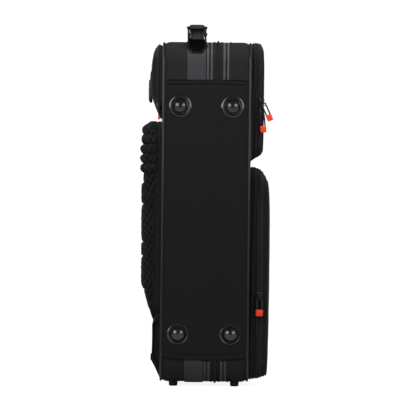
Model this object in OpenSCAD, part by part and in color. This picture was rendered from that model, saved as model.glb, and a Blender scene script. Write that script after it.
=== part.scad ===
// Soft-sided upright travel case. A rear shell, a middle leaf and a front shell are joined by
// two folds in one fabric spine and closed by two zips. It has a padded back, three outside
// pockets and two carry handles.
// Millimetres, +Z up. X runs from the padded back (-X) to the pocket side (+X).
// The spine, where the case folds open, faces -Y. The origin is at the bottom centre.

/* [Case] */
// Height of the case body without feet and handle
case_h = 620; // [580:10:700]
// Width of the case body, from the spine to the far side
case_w = 320; // [300:10:380]
// Depth of the rear compartment, up to the main zip
rear_d = 84; // [76:1:110]
// Depth of the middle leaf, between the two zips
band_d = 30; // [28:1:34]
// Depth of the front shell, from its zip to its face
front_d = 44; // [44:1:60]
// Radius of the four corners of the body
corner_r = 40; // [34:1:46]
// Height of the rubber feet
foot_h = 8; // [6:1:12]

/* [Walls] */
// Thickness of the outer fabric
skin_t = 2; // [1.5:0.5:2.5]
// Thickness of the foam core behind it
core_t = 5; // [4:0.5:7]
// Thickness of the padded front and rear faces
face_t = 4; // [3:0.5:5]
// Thickness of the stiffening boards
board_t = 2; // [1.5:0.5:2.5]
// How far the piping stands out of the edge
piping_h = 2.5; // [2:0.5:3.5]

/* [Spine] */
// Height above the body's base of the lower end of the spine panel
spine_lo = 42; // [40:1:60]
// Distance below the body's top of the upper end of the spine panel
spine_hi = 69; // [50:1:80]
// Distance of the two folds from the ridge between them
fold_half = 6; // [5:0.5:7]
// Radius of the stud flanges
stud_r = 20; // [18:0.5:21]
// Height of a stud's dome above the spine
stud_h = 10; // [8:0.5:12]

/* [Zips] */
// Half the width of a zip, tape and teeth
zip_half = 6.6; // [6:0.2:7]
// Length of a zip pull
pull_l = 38; // [34:1:42]

/* [Back pad] */
// How far the back pad stands out
pad_reach = 40; // [34:1:46]
// Depth of the smooth gusset below the pad
pad_base = 13; // [10:1:16]

/* [Pockets] */
// Depth of the upper front pocket
upper_d = 25; // [22:1:30]
// Depth of the lower front pocket
lower_d = 36; // [30:1:38]
// Depth of the rear pocket
rear_pocket_d = 23; // [22:1:27]
// Thickness of the pocket walls
pocket_t = 3; // [2:0.5:4]

/* [Handles] */
// Width of the handle brackets
bracket_w = 34; // [32:1:38]
// How far the top grip stands above the body
grip_top = 32; // [30:1:36]
// How far a grip can be pressed in
grip_travel = 14; // [10:1:14]

/* [Hidden] */
$fn = 64;

// Clearance between pieces that move apart
gap = 0.3;
case_d = rear_d + band_d + front_d;
wall_t = skin_t + core_t;
// Reach of the tilted zip pull, the foremost point of the case
front_reach = 41;
// Reach of the side grip beyond the far wall
side_reach = 30;

// Stations along X
rear_x = pad_reach - (pad_reach + case_d + front_reach) / 2;
front_x = rear_x + case_d;
zip1_x = rear_x + rear_d;
zip2_x = zip1_x + band_d;
ridge_x = (zip1_x + zip2_x) / 2;
fold1_x = ridge_x - fold_half;
fold2_x = ridge_x + fold_half;
handle_x = zip1_x - 24;
// Stations along Y
spine_y = stud_h - (stud_h + case_w + side_reach) / 2;
far_y = spine_y + case_w;
mid_y = (spine_y + far_y) / 2;
// Stations along Z
bot_z = foot_h;
top_z = foot_h + case_h;
mid_z = (bot_z + top_z) / 2;
seam_lo = bot_z + spine_lo;
seam_hi = top_z - spine_hi;

// Pockets
pocket_y0 = spine_y + 20;
pocket_y1 = far_y - 20;
upper_z0 = top_z - 210;
upper_z1 = top_z - 2;
lower_z0 = bot_z + 6;
lower_z1 = upper_z0 - 14;
// Where the lower pocket's lid folds down
lower_fold_z = bot_z + 152;
rear_pocket_z0 = top_z - 137;
rear_pocket_z1 = top_z - 5;
rear_zip_x = rear_x - 8;
upper_zip_x = front_x + upper_d - 3;
lower_zip_x = front_x + lower_d - 15;

// Colours
charcoal = "#26272a";
soft_black = "#1b1c1e";
grey_web = "#45474b";
zip_grey = "#56585c";
gloss_black = "#101113";
orange = "#e8502f";
lining_grey = "#6b6e73";
steel = "#a9adb2";

// ---------- helpers ----------

// An outline drawn in Y and Z, given thickness from x0 to x1
module along_x(x0, x1)
    translate([x0, 0, 0])
        rotate([90, 0, 90])
            linear_extrude(x1 - x0)
                children();

// An outline drawn in X and Z, given thickness from y0 to y1
module along_y(y0, y1)
    translate([0, y1, 0])
        rotate([90, 0, 0])
            linear_extrude(y1 - y0)
                children();

module box(a, b)
    translate(a)
        cube(b - a);

module rounded(a, b, r)
    union() {
        translate([a.x + r, a.y])
            square([b.x - a.x - 2 * r, b.y - a.y]);
        translate([a.x, a.y + r])
            square([b.x - a.x, b.y - a.y - 2 * r]);
        for (u = [a.x + r, b.x - r], v = [a.y + r, b.y - r])
            translate([u, v])
                circle(r);
    }

// The case's outline in Y and Z, grown by g
module outline(g)
    rounded([spine_y - g, bot_z - g], [far_y + g, top_z + g], corner_r + g);

// The stretch of the spine wall that the spine panel covers
module spine_stretch()
    translate([spine_y - 10, seam_lo])
        square([wall_t + 20, seam_hi - seam_lo]);

module ring(outer, inner)
    difference() {
        outline(outer);
        outline(inner);
    }

// The same ring, open along the spine
module open_ring(outer, inner)
    difference() {
        ring(outer, inner);
        spine_stretch();
    }

// ---------- studs ----------

stud_z = [seam_lo + 46, seam_hi - 48];
rear_stud_x = rear_x + 31;
front_stud_x = fold2_x + stud_r + 1.5;
shank_r = 3;

module stud(x, z)
    translate([x, spine_y, z])
        rotate([90, 0, 0]) {
            dome_r = 0.7 * stud_r;
            cap_h = stud_h - 2.5;
            ball_r = (dome_r * dome_r + cap_h * cap_h) / (2 * cap_h);
            cylinder(r = stud_r, h = 1.5);
            translate([0, 0, 1.5])
                cylinder(r1 = stud_r, r2 = stud_r - 2, h = 1);
            intersection() {
                translate([0, 0, stud_h - ball_r])
                    sphere(ball_r);
                cylinder(r = dome_r, h = stud_h + 1);
            }
            translate([0, 0, -wall_t - 3])
                cylinder(r = shank_r, h = wall_t + 4);
        }

module stud_bores(x)
    for (z = stud_z)
        translate([x, spine_y - 1, z])
            rotate([-90, 0, 0])
                cylinder(r = shank_r + 0.1, h = wall_t + 6);

module washers(x)
    difference() {
        for (z = stud_z)
            translate([x, spine_y + wall_t, z])
                rotate([-90, 0, 0]) {
                    cylinder(r = 10, h = 1.2);
                    cylinder(r = 5.5, h = 2.6);
                }
        stud_bores(x);
    }

// ---------- rear shell ----------

module rear_skin()
    color(charcoal)
        along_x(rear_x, zip1_x - zip_half)
            open_ring(0, -skin_t);

module rear_core()
    color(lining_grey)
        difference() {
            union() {
                along_x(rear_x + face_t + board_t, zip1_x - 0.4)
                    ring(-skin_t, -wall_t);
                box([zip1_x - 1, spine_y + skin_t, seam_lo + gap],
                    [fold1_x - gap / 2, spine_y + wall_t, seam_hi - gap]);
            }
            stud_bores(rear_stud_x);
        }

module rear_face()
    color(charcoal)
        along_x(rear_x, rear_x + face_t)
            outline(-skin_t);

module rear_board()
    color(lining_grey)
        along_x(rear_x + face_t, rear_x + face_t + board_t)
            outline(-skin_t);

module rear_piping()
    color(soft_black)
        along_x(rear_x, rear_x + face_t)
            ring(piping_h, 0);

module spine_panel_rear()
    color(charcoal)
        difference() {
            box([rear_x, spine_y, seam_lo + gap],
                [fold1_x - gap / 2, spine_y + skin_t, seam_hi - gap]);
            stud_bores(rear_stud_x);
        }

module main_zip_rear_tape()
    color(zip_grey)
        along_x(zip1_x - zip_half, zip1_x - 0.4)
            open_ring(0, -skin_t);

module spine_studs_rear()
    color(gloss_black)
        for (z = stud_z)
            stud(rear_stud_x, z);

module stud_washers_rear()
    color(steel)
        washers(rear_stud_x);

foot_y = [spine_y + 50, far_y - 50];
foot_w = 16;
foot_l = 44;
foot_in = 23;

module foot(x, y)
    translate([x, y, 0]) {
        linear_extrude(foot_h)
            rounded([-foot_w / 2, -foot_l / 2], [foot_w / 2, foot_l / 2], 5);
    }

module rear_feet()
    color(soft_black)
        for (y = foot_y)
            foot(rear_x + foot_in, y);

web_t = 1.5;
web_half = 17;

module carry_webbing()
    color(grey_web)
        along_x(handle_x - web_half, handle_x + web_half)
            open_ring(web_t, 0);

// ---------- back pad ----------

pad_z0 = seam_lo + 67;
pad_z1 = seam_hi - 75;
pad_x = rear_x - pad_reach;
pad_base_x = rear_x - pad_base;

module pad_gusset()
    color(soft_black)
        along_x(pad_base_x, rear_x)
            rounded([pocket_y0, pad_z0], [pocket_y1, pad_z1], 34);

module back_pad()
    color(charcoal)
        intersection() {
            along_x(pad_x, pad_base_x)
                rounded([pocket_y0, pad_z0], [pocket_y1, pad_z1], 34);
            along_y(pocket_y0, pocket_y1)
                polygon([
                    [pad_base_x, pad_z1], [pad_base_x - 8, pad_z1],
                    [pad_x + 1, pad_z1 - 13], [pad_x, pad_z1 - 30],
                    [pad_x, pad_z0 + 100], [pad_x + 4, pad_z0 + 45],
                    [pad_x + 20, pad_z0], [pad_base_x, pad_z0]
                ]);
        }

panel_z0 = seam_lo + 12;

module lower_back_panel()
    color(charcoal)
        along_y(pocket_y0, pocket_y1)
            polygon([
                [rear_x, pad_z0 - 2], [rear_x - 12, pad_z0 - 2], [rear_x - 20, pad_z0 - 16],
                [rear_x - 22, panel_z0], [rear_x, panel_z0]
            ]);

module strap_tabs()
    color(soft_black)
        for (y = [pocket_y0 + 24, pocket_y1 - 24])
            along_y(y - 20, y + 20)
                polygon([
                    [rear_x, bot_z + 10], [rear_x - 23, panel_z0 - 12],
                    [rear_x - 23, panel_z0 - 8], [rear_x, panel_z0 - 4]
                ]);

// ---------- rear pocket ----------

// A blank raised patch on the pocket's face
patch_z = [rear_pocket_z1 - 102, rear_pocket_z1 - 60];
patch_t = 4;

module rear_pocket_profile(t)
    polygon([
        [rear_x + 1 - t, rear_pocket_z1 - t], [rear_x - 9.5, rear_pocket_z1 - t],
        [rear_x - 13.5 + t, rear_pocket_z1 - 7 - t / 2], [rear_x - 20 + t, rear_pocket_z1 - 35],
        [rear_x - rear_pocket_d + t, patch_z[1]], [rear_x - rear_pocket_d + t, patch_z[0]],
        [rear_x - 19.5 + t, rear_pocket_z0 + 20], [rear_x - 10, rear_pocket_z0 + 5 + t / 2],
        [rear_x - 6, rear_pocket_z0 + t], [rear_x + 1 - t, rear_pocket_z0 + t]
    ]);

module rear_pocket_shell()
    difference() {
        along_y(pocket_y0, pocket_y1)
            rear_pocket_profile(0);
        along_y(pocket_y0 + pocket_t, pocket_y1 - pocket_t)
            rear_pocket_profile(pocket_t);
        box([rear_x - pocket_t - 1, pocket_y0 + pocket_t, rear_pocket_z0 + pocket_t],
            [rear_x + 5, pocket_y1 - pocket_t, rear_pocket_z1 - pocket_t]);
    }

module rear_pocket_base()
    color(charcoal)
        intersection() {
            rear_pocket_shell();
            box([rear_zip_x + gap, pocket_y0 - 1, rear_pocket_z0 - 1],
                [rear_x, pocket_y1 + 1, rear_pocket_z1 + 1]);
        }

module rear_pocket_lid()
    color(charcoal)
        intersection() {
            rear_pocket_shell();
            box([rear_x - rear_pocket_d - 1, pocket_y0 - 1, rear_pocket_z0 - 1],
                [rear_zip_x - gap, pocket_y1 + 1, rear_pocket_z1 + 1]);
        }

module rear_pocket_patch()
    color(grey_web)
        along_x(rear_x - rear_pocket_d - patch_t, rear_x - rear_pocket_d)
            rounded([mid_y - 45, patch_z[0]], [mid_y + 45, patch_z[1]], 8);

// ---------- carry handles ----------

plate_t = 4;
cheek_t = 3;
bracket_l = 62;
grip_w = bracket_w - 2 * cheek_t - 1;
grip_t = 10;
handle_pin_r = 2.5;

// One bracket in its own frame: X across, Y along the grip from the end, Z out of the wall
module bracket_cheeks(h)
    for (s = [-1, 1])
        difference() {
            translate([s * (bracket_w - cheek_t) / 2, 0, 0])
                rotate([90, 0, 90])
                    translate([0, 0, -cheek_t / 2])
                        linear_extrude(cheek_t)
                            polygon([[6, 0], [10, h - 8], [16, h], [34, h], [44, h - 8], [56, 0]]);
            translate([s * bracket_w / 2, 22.2, h - 5 - grip_travel])
                rotate([0, 90, 0])
                    cylinder(r = handle_pin_r + 0.1, h = bracket_w, center = true);
            translate([-bracket_w, 22.2 - handle_pin_r - 0.1, h - 5 - grip_travel])
                cube([2 * bracket_w, 2 * handle_pin_r + 0.2, grip_travel]);
            translate([s * bracket_w / 2, 22.2, h - 5])
                rotate([0, 90, 0])
                    cylinder(r = handle_pin_r + 0.1, h = bracket_w, center = true);
        }

cheek_h = grip_top - web_t - plate_t;

module top_bracket()
    union() {
        intersection() {
            along_x(handle_x - bracket_w / 2, handle_x + bracket_w / 2)
                ring(web_t + plate_t, web_t);
            box([handle_x - 50, spine_y - 8, top_z - 21], [handle_x + 50, spine_y + bracket_l, top_z + 20]);
        }
        translate([handle_x, spine_y + corner_r - 36, top_z + web_t + plate_t - 0.5])
            bracket_cheeks(cheek_h);
    }

module both_ends()
    for (s = [0, 1])
        translate([0, 2 * s * mid_y, 0])
            mirror([0, s, 0])
                children();

module handle_brackets()
    color(gloss_black)
        difference() {
            both_ends()
                top_bracket();
            both_ends()
                rivet_bores();
        }

rivet_x = 8;
rivet_r = 2;

module rivet_bores()
    for (s = [-1, 1])
        translate([handle_x + s * rivet_x, spine_y + bracket_l - 7, top_z])
            cylinder(r = rivet_r + 0.05, h = 20);

module rivet_heads()
    for (s = [-1, 1])
        translate([handle_x + s * rivet_x, spine_y + bracket_l - 7, top_z + web_t]) {
            cylinder(r = rivet_r, h = plate_t + 0.5);
            translate([0, 0, plate_t])
                cylinder(r1 = 3.6, r2 = 2.4, h = 1.4);
        }

module bracket_rivets()
    color(steel) {
        both_ends()
            rivet_heads();
        for (s = [0, 1])
            translate([0, 0, 2 * s * mid_z])
                mirror([0, 0, s])
                    for (t = [-1, 1])
                        translate([handle_x + t * rivet_x, far_y + web_t, side_z0 + 7])
                            rotate([-90, 0, 0]) {
                                cylinder(r = rivet_r, h = plate_t + 0.5);
                                translate([0, 0, plate_t])
                                    cylinder(r1 = 3.6, r2 = 2.4, h = 1.4);
                            }
    }

// The grip's cross pins ride in the cheeks' slots
pin_in = corner_r - 36 + 22.2;
grip_z1 = top_z + grip_top;

module top_grip()
    color(soft_black)
        union() {
            box([handle_x - grip_w / 2, spine_y + pin_in - 8, grip_z1 - grip_t],
                [handle_x + grip_w / 2, far_y - pin_in + 8, grip_z1]);
            for (y = [spine_y + pin_in, far_y - pin_in])
                translate([handle_x - bracket_w / 2 + 0.8, y, top_z + web_t + plate_t - 0.5 + cheek_h - 5])
                    rotate([0, 90, 0])
                        cylinder(r = handle_pin_r, h = bracket_w - 1.6);
        }

// The same handle on the far wall, between the two brackets' outer ends
side_z0 = mid_z - 130;
side_z1 = mid_z + 130;
side_cheek_h = side_reach - web_t - plate_t + 0.5;

module side_bracket()
    difference() {
        union() {
            box([handle_x - bracket_w / 2, far_y + web_t, side_z0],
                [handle_x + bracket_w / 2, far_y + web_t + plate_t, side_z0 + bracket_l + 6]);
            translate([handle_x, far_y + web_t + plate_t - 0.5, side_z0 + bracket_l + 6])
                rotate([-90, 0, 0])
                    bracket_cheeks(side_cheek_h);
        }
        for (s = [-1, 1])
            translate([handle_x + s * rivet_x, far_y, side_z0 + 7])
                rotate([-90, 0, 0])
                    cylinder(r = rivet_r + 0.05, h = 20);
    }

module side_brackets()
    color(gloss_black)
        for (s = [0, 1])
            translate([0, 0, 2 * s * mid_z])
                mirror([0, 0, s])
                    side_bracket();

side_pin_in = bracket_l + 6 - 22.2;
side_grip_y = far_y + web_t + plate_t - 0.5 + side_cheek_h - 5;

module side_grip()
    color(soft_black)
        union() {
            box([handle_x - grip_w / 2, side_grip_y - grip_t / 2, side_z0 + side_pin_in - 8],
                [handle_x + grip_w / 2, side_grip_y + grip_t / 2, side_z1 - side_pin_in + 8]);
            for (z = [side_z0 + side_pin_in, side_z1 - side_pin_in])
                translate([handle_x - bracket_w / 2 + 0.8, side_grip_y, z])
                    rotate([0, 90, 0])
                        cylinder(r = handle_pin_r, h = bracket_w - 1.6);
        }

// ---------- inside the rear compartment ----------

lining_x = rear_x + face_t + board_t;
strap_t = 1.6;
strap_w = 25;
strap_z = [bot_z + 190, top_z - 170];

module tie_straps()
    color(grey_web)
        for (z = strap_z)
            box([lining_x, spine_y + wall_t + 6, z - strap_w / 2],
                [lining_x + strap_t, far_y - wall_t - 6, z + strap_w / 2]);

// ---------- middle leaf ----------

module band_skin()
    color(charcoal) {
        along_x(zip1_x + zip_half, zip2_x - zip_half)
            open_ring(0, -skin_t);
        box([fold1_x + gap / 2, spine_y, seam_lo],
            [fold2_x - gap / 2, spine_y + skin_t, seam_hi]);
    }

module band_core()
    color(lining_grey)
        union() {
            along_x(zip1_x + 0.4, zip2_x - 0.4)
                open_ring(-skin_t, -wall_t);
            box([fold1_x + gap / 2, spine_y + skin_t, seam_lo],
                [fold2_x - gap / 2, spine_y + wall_t, seam_hi]);
        }

module divider()
    color(lining_grey)
        along_x(ridge_x - 2, ridge_x + 2)
            outline(-wall_t);

module ridge_piping()
    color(soft_black)
        along_x(ridge_x - 2, ridge_x + 2)
            open_ring(piping_h, 0);

module main_zip_front_tape()
    color(zip_grey)
        along_x(zip1_x + 0.4, zip1_x + zip_half)
            open_ring(0, -skin_t);

module front_zip_rear_tape()
    color(zip_grey)
        along_x(zip2_x - zip_half, zip2_x - 0.4)
            open_ring(0, -skin_t);

// ---------- front shell ----------

module front_skin()
    color(charcoal)
        along_x(zip2_x + zip_half, front_x)
            open_ring(0, -skin_t);

module front_core()
    color(lining_grey)
        difference() {
            union() {
                along_x(zip2_x + 0.4, front_x - face_t - board_t)
                    ring(-skin_t, -wall_t);
                box([fold2_x + gap / 2, spine_y + skin_t, seam_lo + gap],
                    [zip2_x + 1, spine_y + wall_t, seam_hi - gap]);
            }
            stud_bores(front_stud_x);
        }

module spine_panel_front()
    color(charcoal)
        difference() {
            box([fold2_x + gap / 2, spine_y, seam_lo + gap],
                [front_x, spine_y + skin_t, seam_hi - gap]);
            stud_bores(front_stud_x);
        }

module spine_studs_front()
    color(gloss_black)
        for (z = stud_z)
            stud(front_stud_x, z);

module stud_washers_front()
    color(steel)
        washers(front_stud_x);

module front_face()
    color(charcoal)
        along_x(front_x - face_t, front_x)
            outline(-skin_t);

module front_board()
    color(lining_grey)
        along_x(front_x - face_t - board_t, front_x - face_t)
            outline(-skin_t);

module front_piping()
    color(soft_black)
        along_x(front_x - face_t, front_x)
            ring(piping_h, 0);

module front_zip_front_tape()
    color(zip_grey)
        along_x(zip2_x + 0.4, zip2_x + zip_half)
            open_ring(0, -skin_t);

module front_feet()
    color(soft_black)
        for (y = foot_y)
            foot(front_x - foot_in, y);

// ---------- front pockets ----------

// Outer shape of the upper pocket, chamfered below and rounded off at its top
module upper_pocket_block()
    intersection() {
        along_x(front_x, front_x + upper_d)
            rounded([pocket_y0, upper_z0], [pocket_y1, upper_z1], 22);
        along_y(pocket_y0, pocket_y1)
            polygon([
                [front_x, upper_z0], [front_x + 4, upper_z0], [front_x + upper_d, upper_z0 + 14],
                [front_x + upper_d, upper_z1 - 22], [front_x + upper_d - 4, upper_z1 - 10],
                [front_x + upper_d - 11, upper_z1 - 2], [front_x + upper_d - 16, upper_z1],
                [front_x, upper_z1]
            ]);
    }

module upper_pocket_shell()
    difference() {
        upper_pocket_block();
        intersection() {
            along_x(front_x - 1, upper_zip_x)
                rounded([pocket_y0 + pocket_t, upper_z0 + pocket_t],
                    [pocket_y1 - pocket_t, upper_z1 - pocket_t], 19);
            along_y(pocket_y0, pocket_y1)
                polygon([
                    [front_x - 1, upper_z0 + pocket_t], [front_x + 3, upper_z0 + pocket_t],
                    [upper_zip_x, upper_z0 + pocket_t + 12], [upper_zip_x, upper_z1 - 18],
                    [front_x + upper_d - 13, upper_z1 - pocket_t - 2],
                    [front_x - 1, upper_z1 - pocket_t]
                ]);
        }
    }

module upper_lid_zone(clear)
    box([upper_zip_x - clear, pocket_y0 - 5, upper_z0 - 5],
        [front_x + upper_d + 5, pocket_y1 + 5, upper_z1 + 5]);

module upper_pocket_base()
    color(charcoal)
        difference() {
            upper_pocket_shell();
            upper_lid_zone(gap);
        }

module upper_pocket_lid()
    color(charcoal)
        intersection() {
            upper_pocket_shell();
            upper_lid_zone(-gap);
        }

// Outer shape of the lower pocket, rounded off at its top
module lower_pocket_block()
    intersection() {
        along_x(front_x, front_x + lower_d)
            rounded([pocket_y0, lower_z0], [pocket_y1, lower_z1], 26);
        along_y(pocket_y0, pocket_y1)
            polygon([
                [front_x, lower_z0], [front_x + lower_d - 5, lower_z0],
                [front_x + lower_d, lower_z0 + 20], [front_x + lower_d, lower_z1 - 44],
                [front_x + lower_d - 6, lower_z1 - 20], [front_x + lower_d - 15, lower_z1 - 5],
                [front_x + lower_d - 24, lower_z1], [front_x, lower_z1]
            ]);
    }

module lower_pocket_shell()
    difference() {
        lower_pocket_block();
        along_x(front_x - 1, lower_zip_x + 0.8)
            rounded([pocket_y0 + pocket_t, lower_z0 + pocket_t],
                [pocket_y1 - pocket_t, lower_z1 - pocket_t], 23);
        along_y(pocket_y0 + pocket_t, pocket_y1 - pocket_t)
            polygon([
                [lower_zip_x, lower_z0 + pocket_t + 24], [front_x + lower_d - 4, lower_z0 + pocket_t + 24],
                [front_x + lower_d - 4, lower_z1 - 46], [front_x + lower_d - 10, lower_z1 - 24],
                [lower_zip_x + 1, lower_z1 - 14], [lower_zip_x, lower_z1 - 14]
            ]);
    }

module lid_zone(clear)
    box([lower_zip_x - clear, pocket_y0 - 5, lower_fold_z - clear],
        [front_x + lower_d + 5, pocket_y1 + 5, lower_z1 + 5]);

module lower_pocket_base()
    color(charcoal)
        difference() {
            lower_pocket_shell();
            lid_zone(gap);
        }

module lower_pocket_lid()
    color(charcoal)
        intersection() {
            lower_pocket_shell();
            lid_zone(-gap);
        }

// ---------- zip sliders and pulls ----------

// A slider on a wall: X across the zip, Z along it, outwards is -Y.
// The pin that carries the pull stands reach away from the wall.
pin_r = 0.9;

module slider(reach)
    color(steel) {
        difference() {
            box([-3.6, -3.8, -6.5], [3.6, -0.8, 6.5]);
            for (s = [-1, 1])
                translate([s * 4.6, -4, 6.5])
                    rotate([0, s * 30, 0])
                        cube([3, 10, 12], center = true);
        }
        for (s = [-1, 1])
            box([s * 2.6 - 0.6, -reach - 1.5, -1.6], [s * 2.6 + 0.6, -3.6, 1.6]);
        translate([-2.8, -reach, 0])
            rotate([0, 90, 0])
                cylinder(r = pin_r, h = 5.6);
    }

tip_l = 12;

// A pull that hangs from the slider's pin: a moulded loop with a soft end
module pull(reach, tilt = 0, turn = 0, long = pull_l, tip_half = 4.8)
    translate([0, -reach, 0])
        difference() {
            union() {
                color(soft_black)
                    rotate([0, 90, 0])
                        cylinder(r = 2.1, h = 3, center = true);
                color(soft_black)
                    box([-1.1, -1.1, -6], [1.1, 1.1, -1]);
                rotate([0, -tilt, turn]) {
                    color(soft_black)
                        along_y(-1.1, 1.1)
                            difference() {
                                rounded([-3.6, -long + tip_l - 2], [3.6, -4.8], 2);
                                rounded([-1.5, -long + tip_l + 2], [1.5, -7.2], 1.2);
                            }
                    color(orange)
                        along_y(-1.8, 1.8)
                            rounded([-tip_half, -long], [tip_half, -long + tip_l], 2);
                }
            }
            rotate([0, 90, 0])
                cylinder(r = pin_r + 0.3, h = 8, center = true);
        }

near_reach = 6.2;
far_reach = 11;
// Reach of the pin whose pull hangs edge-on
turned_reach = 8.8;

// Front pockets' zips run up their spine-side walls
upper_a = [upper_zip_x, pocket_y0, upper_z1 - 104];
upper_b = [upper_zip_x, pocket_y0, upper_a.z - 20];
lower_a = [lower_zip_x, pocket_y0, lower_fold_z + 7];
rear_a = [rear_zip_x, pocket_y0, rear_pocket_z0 + 19];

module upper_slider_a() translate(upper_a) slider(far_reach);
module upper_pull_a() translate(upper_a) pull(far_reach, tilt = 22);
module upper_slider_b() translate(upper_b) rotate([0, 180, 0]) slider(near_reach);
module upper_pull_b() translate(upper_b) pull(near_reach);
module lower_slider() translate(lower_a) slider(near_reach);
module lower_pull() translate(lower_a) pull(near_reach, tip_half = 6.5);
module rear_slider() translate(rear_a) slider(turned_reach);
module rear_pull() translate(rear_a) pull(turned_reach, turn = 90, long = 26);

// The two long zips close at the middle of the far wall
meet_z = mid_z + 8;

module on_far_wall(x, z)
    translate([x, far_y, z])
        rotate([0, 0, 180])
            children();

module main_slider_a() on_far_wall(zip1_x, meet_z) slider(far_reach);
module main_pull_a() on_far_wall(zip1_x, meet_z) pull(far_reach, tilt = -22);
module main_slider_b() on_far_wall(zip1_x, meet_z - 20) rotate([0, 180, 0]) slider(near_reach);
module main_pull_b() on_far_wall(zip1_x, meet_z - 20) pull(near_reach);
module front_slider_a() on_far_wall(zip2_x, meet_z) slider(far_reach);
module front_pull_a() on_far_wall(zip2_x, meet_z) pull(far_reach, tilt = -22);
module front_slider_b() on_far_wall(zip2_x, meet_z - 20) rotate([0, 180, 0]) slider(near_reach);
module front_pull_b() on_far_wall(zip2_x, meet_z - 20) pull(near_reach);

rear_skin();
rear_core();
rear_face();
rear_board();
rear_piping();
spine_panel_rear();
main_zip_rear_tape();
spine_studs_rear();
stud_washers_rear();
rear_feet();
carry_webbing();
handle_brackets();
bracket_rivets();
rear_pocket_base();
pad_gusset();
back_pad();
lower_back_panel();
strap_tabs();
side_brackets();
tie_straps();
top_grip();
side_grip();
rear_pocket_lid();
rear_pocket_patch();
rear_slider();
rear_pull();
band_skin();
band_core();
divider();
ridge_piping();
main_zip_front_tape();
front_zip_rear_tape();
front_skin();
front_core();
front_face();
front_board();
front_piping();
spine_panel_front();
spine_studs_front();
stud_washers_front();
front_zip_front_tape();
front_feet();
upper_pocket_base();
lower_pocket_base();
upper_pocket_lid();
lower_pocket_lid();
upper_slider_a();
upper_pull_a();
upper_slider_b();
upper_pull_b();
lower_slider();
lower_pull();
main_slider_a();
main_pull_a();
main_slider_b();
main_pull_b();
front_slider_a();
front_pull_a();
front_slider_b();
front_pull_b();
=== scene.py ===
"""Looks of an upright soft travel case: woven shells, zips, pockets, ribbed back pad, studs and handles."""
import math

import bmesh
import bpy
import numpy as np
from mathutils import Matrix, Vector


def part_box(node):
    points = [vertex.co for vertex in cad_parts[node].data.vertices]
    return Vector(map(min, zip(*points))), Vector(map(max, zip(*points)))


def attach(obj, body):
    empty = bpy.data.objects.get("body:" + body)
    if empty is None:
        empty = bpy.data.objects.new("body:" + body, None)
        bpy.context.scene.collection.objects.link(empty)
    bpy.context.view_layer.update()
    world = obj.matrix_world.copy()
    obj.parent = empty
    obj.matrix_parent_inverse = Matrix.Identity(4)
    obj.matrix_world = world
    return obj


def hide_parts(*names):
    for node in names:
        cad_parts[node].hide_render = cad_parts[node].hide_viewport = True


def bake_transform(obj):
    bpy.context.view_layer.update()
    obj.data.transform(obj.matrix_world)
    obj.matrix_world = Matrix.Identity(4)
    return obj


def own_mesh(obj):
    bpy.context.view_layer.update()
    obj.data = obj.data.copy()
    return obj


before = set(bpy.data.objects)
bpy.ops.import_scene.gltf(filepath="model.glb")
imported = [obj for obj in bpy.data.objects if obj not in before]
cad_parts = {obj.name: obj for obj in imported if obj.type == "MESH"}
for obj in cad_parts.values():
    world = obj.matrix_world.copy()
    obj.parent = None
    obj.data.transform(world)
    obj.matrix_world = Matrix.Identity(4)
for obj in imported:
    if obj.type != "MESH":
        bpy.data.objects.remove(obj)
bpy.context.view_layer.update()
mm = 0.001


# ---------- stations, in millimetres, from the CAD nodes ----------

def span(node):
    """The two corners of a CAD node's box, in millimetres."""
    lo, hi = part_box(node)
    return np.array(lo) * 1000, np.array(hi) * 1000


SKIN = 2
lo, hi = span("rear_core")
SY, FY, BZ, TZ = lo[1] - SKIN, hi[1] + SKIN, lo[2] - SKIN, hi[2] + SKIN
RX = span("rear_face")[0][0]
FX = span("front_face")[1][0]
ZIP1 = (span("main_zip_rear_tape")[1][0] + span("main_zip_front_tape")[0][0]) / 2
ZIP2 = (span("front_zip_rear_tape")[1][0] + span("front_zip_front_tape")[0][0]) / 2
RIDGE = (ZIP1 + ZIP2) / 2
FOLD1 = span("spine_panel_rear")[1][0] + 0.15
FOLD2 = span("spine_panel_front")[0][0] - 0.15
SEAM_LO = span("spine_panel_rear")[0][2] - 0.3
SEAM_HI = span("spine_panel_rear")[1][2] + 0.3
WEB_LO, WEB_HI = span("carry_webbing")[0][0], span("carry_webbing")[1][0]
HX = (WEB_LO + WEB_HI) / 2
PY0, PY1 = span("back_pad")[0][1], span("back_pad")[1][1]
MID_Y, MID_Z = (SY + FY) / 2, (BZ + TZ) / 2
R = 40.0  # corners of the case's outline
ZH = 6.6  # half the width of a zip over both tapes
BEND = 4  # half the width of the spine's cloth strip at each fold
QUILT = 62.0  # spacing of the linings' sewn channels


# ---------- mesh building ----------

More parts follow.
